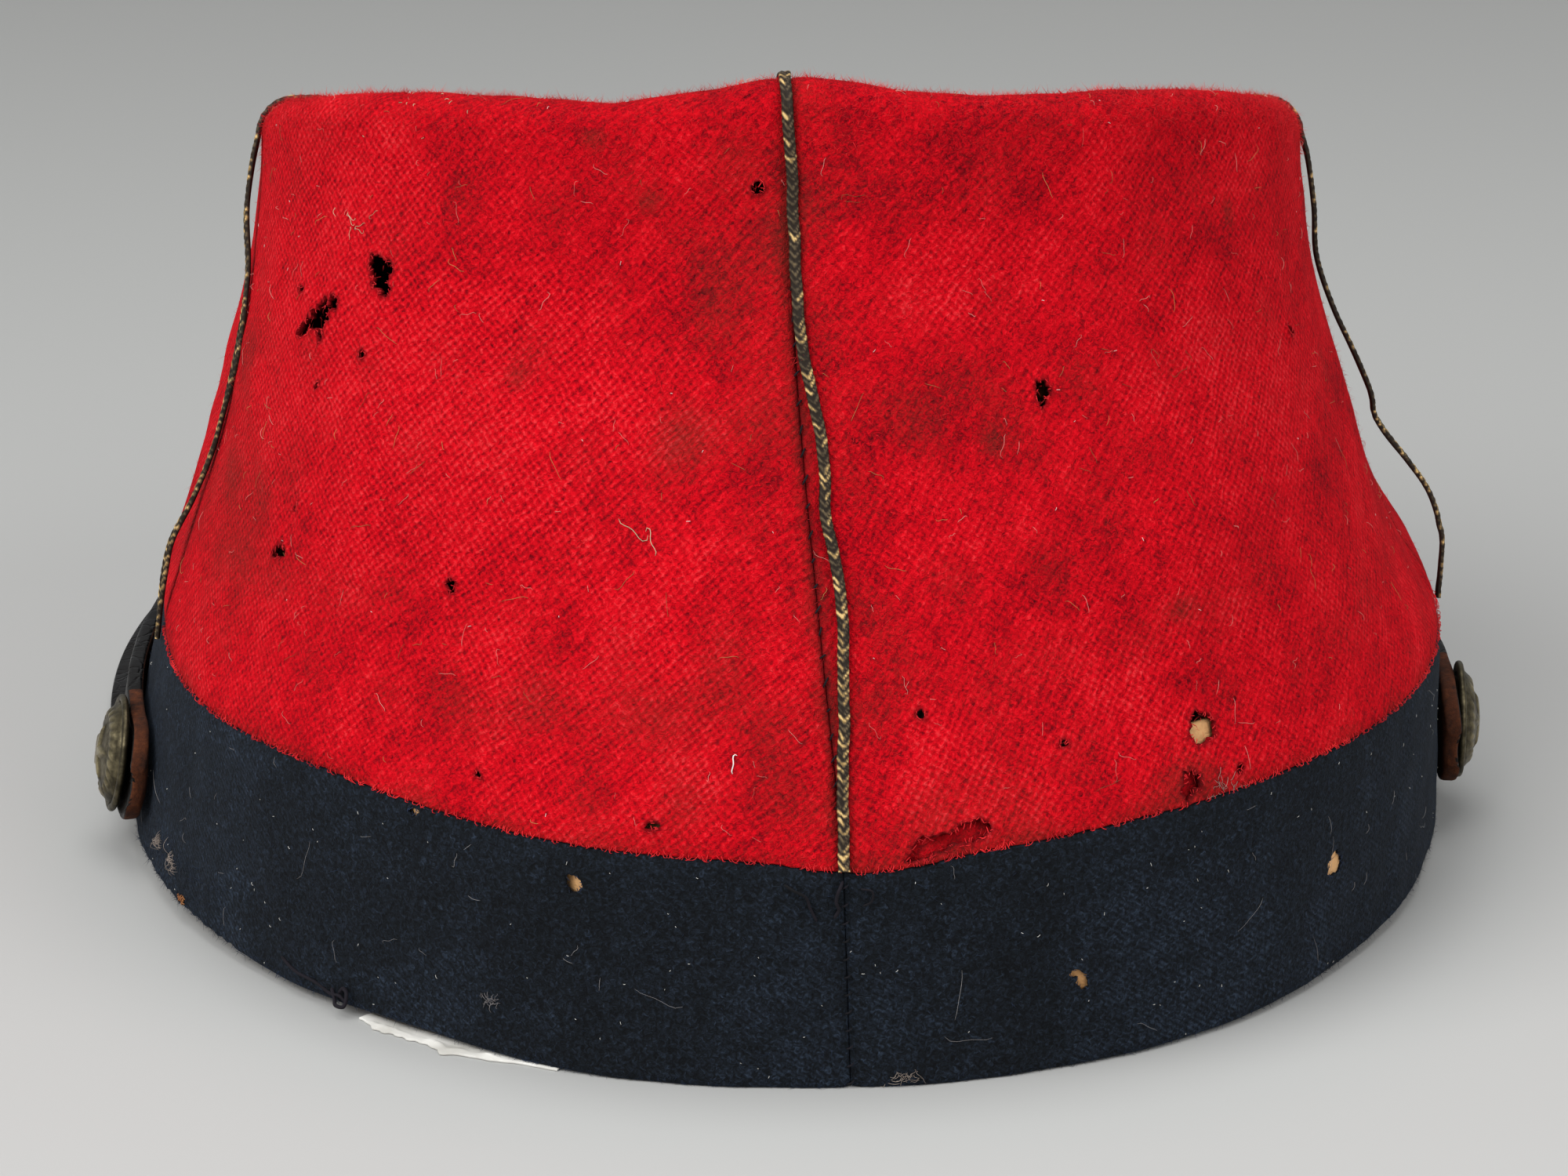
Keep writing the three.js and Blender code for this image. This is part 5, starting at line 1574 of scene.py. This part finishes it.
stitching = {
    "seamTop": 0.62,
    "threadRadius": 0.12,
    "halfWidth": 0.4,
    "slant": 0.35,
    "backRise": 70,
    "backRadius": 85,
    "bandHeights": (0.8, 28.5, 2.5),
    "bandSlant": 0.25,
    "bandHalfWidth": 0.45,
    "peakMargin": 4,
    "peakThreadRadius": 0.14,
    "peakStep": 2.6,
    "peakLength": 1.9,
    "peakInset": 3.35,
}


def seamStitches():
    # Dark thread over the back seam, uneven, with a knot on every few stitches
    ways = []
    draws = np.random.default_rng(61)
    climb = capSize["wallEnd"] / stitching["backRise"]
    share = 0.02
    while share < stitching["seamTop"]:
        slant = stitching["slant"] * climb * draws.uniform(0.5, 1.6)
        half = stitching["halfWidth"] * draws.uniform(0.55, 1.15)
        steps = np.linspace(-1, 1, 5)
        shares = share + slant * steps
        angles = driftedAngle("back", seamTables, shares) + np.degrees(half * steps / stitching["backRadius"])
        lift = 0.34 * (1 - steps ** 2) - 0.12
        ways.append(toFrame(crownSkin(angles, shares, -lift + 0.28)))
        share += crownWear["stitchStep"] * climb * draws.uniform(0.85, 1.15)
    for height in np.arange(*stitching["bandHeights"]):
        steps = np.linspace(-1, 1, 5)
        middle = bandSeam(height / capSize["bandHeight"], 0)
        shares = (height + stitching["bandSlant"] * steps) / capSize["bandHeight"]
        angles = middle + np.degrees(stitching["bandHalfWidth"] * steps / capSize["backReach"])
        ways.append(toFrame(bandSkin(angles, shares, 0.2 - 0.3 * (1 - steps ** 2))))
    threadPiece("seam_stitches", ways, stitching["threadRadius"], darkThread, "navy_wool")


def peakStitches():
    ways = []
    margin = stitching["peakMargin"]
    for start in np.arange(margin, peakCut["length"] - margin, stitching["peakStep"]):
        across = start + np.linspace(0, stitching["peakLength"], 5)
        share = across / peakCut["length"]
        reach = peakPoint(share, np.ones(5), 0)[1]
        arch = 0.16 * np.sin(np.linspace(0, math.pi, 5)) - 0.02
        ways.append(toFrame(peakPoint(share, 1 - stitching["peakInset"] / reach, -arch)[0]))
    threadPiece("peak_stitches", ways, stitching["peakThreadRadius"], paleThread, "black_leather")


scatteredLint = {"pale": 130, "brown": 70, "white": 20, "bandSpecks": 60, "bandHairs": 22}


def foundHairs():
    # Lint and hairs on the two back panels and the band
    left, right = panelMaps["back_left"], panelMaps["back_right"]
    pale, brown, white = [], [], []
    for cloth, seed in ((left, 201), (right, 211)):
        pale += scatteredHairs(cloth, scatteredLint["pale"], seed, (0.8, 3.6), (-8, 8), 0.4)
        brown += scatteredHairs(cloth, scatteredLint["brown"], seed + 1, (0.8, 4.5), (-6, 6), 0.4)
        white += scatteredHairs(cloth, scatteredLint["white"], seed + 2, (0.25, 0.7), (-6, 6), 0.15)
    threadPiece("pale_lint", pale, 0.024, palePink, "white_cotton")
    threadPiece("brown_lint", brown, 0.026, brownHair, "white_cotton")
    # The back of the band lies at both ends of its flat pattern
    bandSpecks, bandHairs = [], []
    for around, seed in (((0, 0.25), 221), ((0.75, 1), 231)):
        bandSpecks += scatteredHairs(bandMap, scatteredLint["bandSpecks"], seed, (0.2, 0.6), (-6, 6), 0.12,
                                     around)
        bandHairs += scatteredHairs(bandMap, scatteredLint["bandHairs"], seed + 1, (1.5, 8.0), (-5, 5), 0.3,
                                    around)
    threadPiece("white_lint", white + bandSpecks, 0.026, whiteLint, "white_cotton")
    threadPiece("grey_hairs", bandHairs, 0.015, greyFluff, "white_cotton")


foundMarks = (
    # Name, cloth, angle, share, count, spread in mm, lengths, bends, lift, radius, finish
    ("tuft_on_band", "band", 16.2, 0.18, 22, 0.5, (1.2, 2.6), (-12, 12), 1.1, 0.022, "dun"),
    ("tuft_edge_on_band", "band", 19.8, 0.16, 22, 0.5, (1.2, 2.6), (-12, 12), 0.8, 0.022, "dun"),
    ("fluff_on_band", "band", 60, 0.24, 20, 0.45, (0.6, 1.9), (-12, 12), 0.5, 0.022, "grey"),
    ("fluff_at_hem", "band", 94.5, 0.05, 26, 0.8, (0.7, 1.8), (-12, 12), 0.5, 0.022, "dun"),
    ("white_curl", "back_left", 81, 0.12, 1, 0.1, (2.6, 2.8), (4.6, 5.0), 0.25, 0.07, "white"),
    ("curled_fibre", "back_left", 72.5, 0.365, 2, 0.25, (4.0, 6.5), (-7, -5), 0.5, 0.045, "pale"),
    ("pale_fray", "back_right", 122.6, 0.006, 20, 1.0, (0.7, 1.8), (-9, 9), 0.25, 0.02, "dun"),
    ("specks_high_left", "back_left", 46, 0.83, 12, 5.0, (0.3, 0.7), (-6, 6), 0.2, 0.04, "pale"),
    ("curls_left", "back_left", 35, 0.68, 7, 3.0, (1.5, 3.2), (-9, -5), 0.5, 0.028, "pale"),
    ("orange_crumb", "band", 22.5, 0.04, 24, 0.4, (0.3, 0.8), (-8, 8), 0.3, 0.08, "orange"),
)


def gatheredMarks():
    finishes = {"white": whiteLint, "grey": greyFluff, "dun": dunFluff, "pale": paleThread,
                "orange": brownHair}
    for i, mark in enumerate(foundMarks):
        name, where, angle, share, count, spread, lengths, bends, lift, radius, finish = mark
        cloth = bandMap if where == "band" else panelMaps[where]
        draws = np.random.default_rng(300 + i)
        across, up = cloth.flatPlace(angle, share)
        across = across + draws.normal(0, spread, count)
        up = up + draws.normal(0, spread, count) * 0.6
        ways = flatHairs(cloth, across, up, draws.uniform(*lengths, count),
                         draws.uniform(0, 2 * math.pi, count), draws.uniform(*bends, count),
                         draws.uniform(0.1, 1, count) * lift, points=10)
        threadPiece(name, ways, radius, finishes[finish], "white_cotton")


fraying = {"endsPerMillimetre": 3.4, "edgeStep": 0.12, "edgeSteps": 40, "footEnds": 360, "footDrop": 0.35}


def outFrom(hole, turn, far):
    return hole["centre"][0] + far * np.cos(turn) / hole["stretch"], hole["centre"][1] + far * np.sin(turn)


def holeFrays(name, cloth, material, slotName, radius):
    # Torn thread ends that reach into each moth hole, each found by going out from its middle to the edge
    draws = np.random.default_rng(401)
    starts, headings = [], []
    for hole in cloth.holes:
        count = round(fraying["endsPerMillimetre"] * (hole["wide"] + hole["tall"]))
        turn = draws.uniform(0, 2 * math.pi, count)
        far = np.full(count, 0.0)
        for _ in range(fraying["edgeSteps"]):
            short = holeDistance([hole], *outFrom(hole, turn, far)) < fraying["edgeStep"]
            far = np.where(short, far + fraying["edgeStep"], far)
        x, y = outFrom(hole, turn, far)
        outside = holeDistance(cloth.holes, x, y) > 0
        starts.append(np.stack([x, y], axis=-1)[outside])
        headings.append((turn + math.pi + draws.uniform(-1.2, 1.2, count))[outside])
    starts, headings = np.concatenate(starts), np.concatenate(headings)
    count = len(starts)
    ways = flatHairs(cloth, starts[:, 0], starts[:, 1], draws.uniform(0.25, 0.9, count), headings,
                     draws.uniform(-2.5, 2.5, count), draws.uniform(-0.35, 0.35, count), points=6)
    threadPiece(name, ways, radius, material, slotName)


def footFray():
    # Short red ends along the crown's foot
    ways = []
    for name, seed in (("back_left", 411), ("back_right", 412)):
        cloth = panelMaps[name]
        draws = np.random.default_rng(seed)
        count = fraying["footEnds"]
        heading = -math.pi / 2 + draws.uniform(-1.3, 1.3, count)
        across, up = draws.uniform(0, 1, count) * cloth.width, draws.uniform(0.3, 0.8, count)
        length = draws.uniform(0.4, 1.3, count)
        lines = np.array(flatHairs(cloth, across, up, length, heading, draws.uniform(-3, 3, count),
                                   draws.uniform(0.1, 0.45, count), points=5))
        lines[:, :, 2] -= (np.linspace(0, 1, 5) * fraying["footDrop"] * column(length)) / 1000
        ways += list(lines)
    threadPiece("scarlet_foot_fray", ways, 0.045, redFibre, "scarlet_wool")


looseThreads = (
    # Name, turns of a dark thread on the band as angle, share and lift in mm, and its radius
    ("braid_end_thread", ((89.9, 0.97, 0.5), (89.5, 0.93, 0.8), (89.3, 0.88, 0.6), (89.5, 0.84, 0.4),
                          (89.1, 0.8, 0.2)), 0.2),
    ("left_end_thread", ((85.2, 0.93, 0.2), (86.0, 0.915, 0.7), (86.9, 0.89, 0.5), (87.2, 0.84, 0.3),
                         (87.7, 0.78, 0.15)), 0.17),
    ("right_end_thread", ((91.3, 0.94, 0.2), (92.2, 0.93, 0.5), (92.1, 0.88, 0.4), (91.4, 0.86, 0.2)), 0.13),
    ("hem_thread_long", ((38, 0.1, 0.2), (40, 0.075, 0.5), (42, 0.06, 0.3), (44, 0.04, 0.6),
                         (45.2, 0.05, 0.9), (45.9, 0.03, 0.8)), 0.2),
    ("hem_thread_loop", ((44, 0.06, 0.3), (44.8, 0.03, 1.0), (45.4, 0.02, 1.7), (46.2, 0.025, 1.6),
                         (46.1, 0.07, 1.0), (45.4, 0.08, 0.5), (44.9, 0.05, 0.4)), 0.24),
)


def strayThreads():
    for name, turns, radius in looseThreads:
        table = {key: [turn[k] for turn in turns] for k, key in enumerate(("angle", "share", "lift"))}
        table = {"step": list(range(len(turns))), **table}
        steps = np.linspace(0, len(turns) - 1, 6 * len(turns))
        angle, share, lift = (readTable(table, key, steps) for key in ("angle", "share", "lift"))
        threadPiece(name, [toFrame(bandPlaces(angle, share, lift))], radius, darkThread, "navy_wool", sides=2)


tornStrip = {"start": 47.0, "end": 66.0, "width": 3.4, "thickness": 0.3, "inside": 1.6}


def whiteStrip():
    # Torn lining cotton that lies on the table under the hem, wide at first and with one tab
    length = math.radians(tornStrip["end"] - tornStrip["start"]) * capSize["backReach"]
    bm = flatSheet((length, tornStrip["width"]), (0.5, 0.3), tornStrip["thickness"], edgeRadius=0.1)

    def wrap(across, up, out):
        angle = tornStrip["start"] + across / length * (tornStrip["end"] - tornStrip["start"])
        wide = 1.3 * smoothStep(47.2, 49.5, angle) * smoothStep(63.0, 59.5, angle) + 0.3
        reach = wide * (0.85 + 0.2 * ripple(across, 0 * across, 43, 3)) + 1.3 * fade(angle - 56.5, 0.7)
        share = up / tornStrip["width"]
        standOut = -tornStrip["inside"] + (reach + tornStrip["inside"]) * share
        places = toFrame(bandSkin(angle, 0, -standOut))
        fold = 0.35 * fade(share - 0.72, 0.14) * (0.6 + 0.5 * ripple(across, up, 44, 6))
        places[..., 2] = (0.34 + out + np.maximum(fold, 0) * smoothStep(0, 0.5, standOut)) / 1000
        return fromFrame(places)

    mesh = wrapMesh(bm, "white_lining_strip", wrap, sharpAngle=60)
    finishPiece("white_lining_strip", mesh, [whiteLint], "white_cotton")


def crownPlaces(angle, share, lift):
    # Points on the crown's outer face, lifted off it, with the same folds as the cloth
    angle, share = np.broadcast_arrays(np.asarray(angle, float), np.asarray(share, float))
    relief = np.zeros(angle.shape)
    for panel in panelMaps.values():
        start, end = panel.seamGapAngles(share)
        turned = start + np.mod(angle - start, 360)
        across, up = panel.flatPlace(turned, share)
        u, v = panel.clothMap(across, up)
        fromSeam = np.minimum(across, panel.width - across) * panel.stretchAt(share)
        relief = np.where(turned <= end, panel.relief(angle, share, u, v, fromSeam, up), relief)
    return crownSkin(angle, share, -relief - lift)


def bandPlaces(angle, share, lift):
    across, up = bandMap.flatPlace(angle, share)
    return bandMap.wrap(across, up, lift)


def napFibres(name, roots, normals, tilts, seed, lengthRange, material, slotName):
    # Loose ends of the wool: short bent spikes
    template = bmesh.new()
    bmesh.ops.create_cone(template, cap_ends=True, segments=3, radius1=1, radius2=0, depth=1)
    bmesh.ops.translate(template, vec=(0, 0, 0.5), verts=template.verts)
    bmesh.ops.bisect_plane(template, geom=template.verts[:] + template.edges[:] + template.faces[:],
                           plane_co=(0, 0, 0.5), plane_no=(0, 0, 1))
    template.verts.index_update()
    shape = np.array([vert.co[:] for vert in template.verts])
    faces = [[vert.index for vert in face.verts] for face in template.faces]
    template.free()
    draws = np.random.default_rng(seed)
    count = len(roots)
    loose = draws.normal(0, 1, (count, 3))
    flat = unit(loose - normals * column((loose * normals).sum(axis=-1)))
    way = unit(flat + normals * column(draws.uniform(*tilts, count)))
    bend = unit(draws.normal(0, 1, (count, 3))) * column(draws.uniform(0.1, 0.5, count))
    length = draws.uniform(*lengthRange, count)
    width = draws.uniform(0.02, 0.04, count)
    side = unit(np.cross(way, normals + 0.01))
    other = np.cross(way, side)
    t = shape[:, 2][None, :, None]
    points = (roots[:, None] + (way[:, None] * t + bend[:, None] * t ** 2) * length[:, None, None]
              + side[:, None] * shape[None, :, :1] * width[:, None, None]
              + other[:, None] * shape[None, :, 1:2] * width[:, None, None])
    places = toFrame(points.reshape(-1, 3))
    places[:, 2] = np.maximum(places[:, 2], fibreEnds["napAboveTable"])
    rows = [[index + k * len(shape) for index in face] for k in range(count) for face in faces]
    mesh = bpy.data.meshes.new(name)
    mesh.from_pydata(places.tolist(), [], rows)
    return finishPiece(name, shaded(mesh), [material], slotName)


napPatches = (
    # Name, number of fibres, angles, shares, tilts off the cloth, lengths in mm, seed
    ("wool_nap_back", 12500, (2, 178), (0.01, 0.99), (0.1, 0.6), (0.6, 1.6), 81),
    ("wool_nap_back_rim", 8000, (2, 178), (0.76, 1.0), (0.4, 1.4), (0.6, 1.5), 82),
    ("wool_nap_front", 3500, (178, 362), (0.01, 0.99), (0.1, 0.6), (0.6, 1.5), 83),
    ("wool_nap_front_rim", 2600, (178, 362), (0.76, 1.0), (0.4, 1.4), (0.6, 1.4), 84),
)


def crownNap():
    for name, count, angles, shares, tilts, lengths, seed in napPatches:
        draws = np.random.default_rng(seed + 100)
        angle, share = draws.uniform(*angles, count), draws.uniform(*shares, count)
        napFibres(name, crownPlaces(angle, share, -0.15), crownNormal(angle, share), tilts, seed, lengths,
                  redFibre, "scarlet_wool")


bandNapPatches = (
    # Number of fibres, angles, shares: the whole face, the hem at the back, the frayed place on the left
    (3600, (0, 360), (0, 1)),
    (1500, (2, 178), (0, 0.03)),
    (800, (12, 30), (0, 0.25)),
)


def bandNap():
    draws = np.random.default_rng(91)
    angle = np.concatenate([draws.uniform(*angles, count) for count, angles, shares in bandNapPatches])
    share = np.concatenate([draws.uniform(*shares, count) for count, angles, shares in bandNapPatches])
    napFibres("navy_nap", bandPlaces(angle, share, -0.1), levelNormal(angle), (0.1, 0.8), 92, (0.4, 1.1),
              navyFibre, "navy_wool")


seamStitches()
peakStitches()
foundHairs()
gatheredMarks()
for side in ("back_left", "back_right"):
    holeFrays("scarlet_hole_fray_" + side, panelMaps[side], redFibre, "scarlet_wool", 0.05)
holeFrays("navy_hole_fray", bandMap, navyFibre, "navy_wool", 0.045)
footFray()
strayThreads()
whiteStrip()
print("threads and lint made")


crownNap()
bandNap()
print("nap made")


# Floor and light

studio = {
    "floorHalf": 3.0,
    "keyPlace": (1.05, 0.82, 1.15),
    "keySize": 1.6,
    "keyPower": 28.0,
    "fillPlace": (-1.0, 0.9, 0.8),
    "fillSize": 1.2,
    "fillPower": 9.5,
    "topPlace": (0.0, -0.1, 1.5),
    "topSize": 1.2,
    "topPower": 10.0,
    "worldColor": "#d9dcdf",
    "worldStrength": 0.5,
}


def paperFloor():
    # Seamless background paper: matt pale grey, with painted shade that darkens it further back, where the
    # light falls off
    material, tree, place = startMaterial("grey background paper")
    split = addNode(tree, "ShaderNodeSeparateXYZ", {0: place})
    back = addNode(tree, "ShaderNodeMapRange", {
        "Value": split.outputs["Y"], "From Min": -0.38, "From Max": 0.16})
    color = addNode(tree, "ShaderNodeValToRGB", {"Fac": back}, stops=(
        (0.0, "#8e8e8c"), (0.5, "#a6a6a4"), (1.0, "#b3b3b1")))
    finishMaterial(material, {"Base Color": color, "Roughness": 0.9, "Specular IOR Level": 0.2})
    bm = bmesh.new()
    bmesh.ops.create_grid(bm, x_segments=8, y_segments=8, size=studio["floorHalf"])
    mesh = bpy.data.meshes.new("floor")
    bm.to_mesh(mesh)
    bm.free()
    mesh.materials.append(material)
    floor = bpy.data.objects.new("floor", mesh)
    bpy.context.scene.collection.objects.link(floor)


def softLight(name, place, size, power):
    data = bpy.data.lights.new(name, "AREA")
    data.shape = "DISK"
    data.size = size
    data.energy = power
    light = bpy.data.objects.new(name, data)
    bpy.context.scene.collection.objects.link(light)
    light.location = place
    light.rotation_euler = (Vector((0, 0, 0.05)) - Vector(place)).to_track_quat("-Z", "Y").to_euler()


def softStudio():
    for part in ("key", "fill", "top"):
        softLight(part + "Light", studio[part + "Place"], studio[part + "Size"], studio[part + "Power"])
    world = bpy.data.worlds.new("studio")
    bpy.context.scene.world = world
    world.use_nodes = True
    world.node_tree.nodes.clear()
    glow = addNode(world.node_tree, "ShaderNodeBackground", {
        "Color": hexLinear(studio["worldColor"]), "Strength": studio["worldStrength"]})
    addNode(world.node_tree, "ShaderNodeOutputWorld", {"Surface": glow})
    bpy.context.scene.view_settings.view_transform = "Standard"


paperFloor()
softStudio()
print("floor and lights placed")
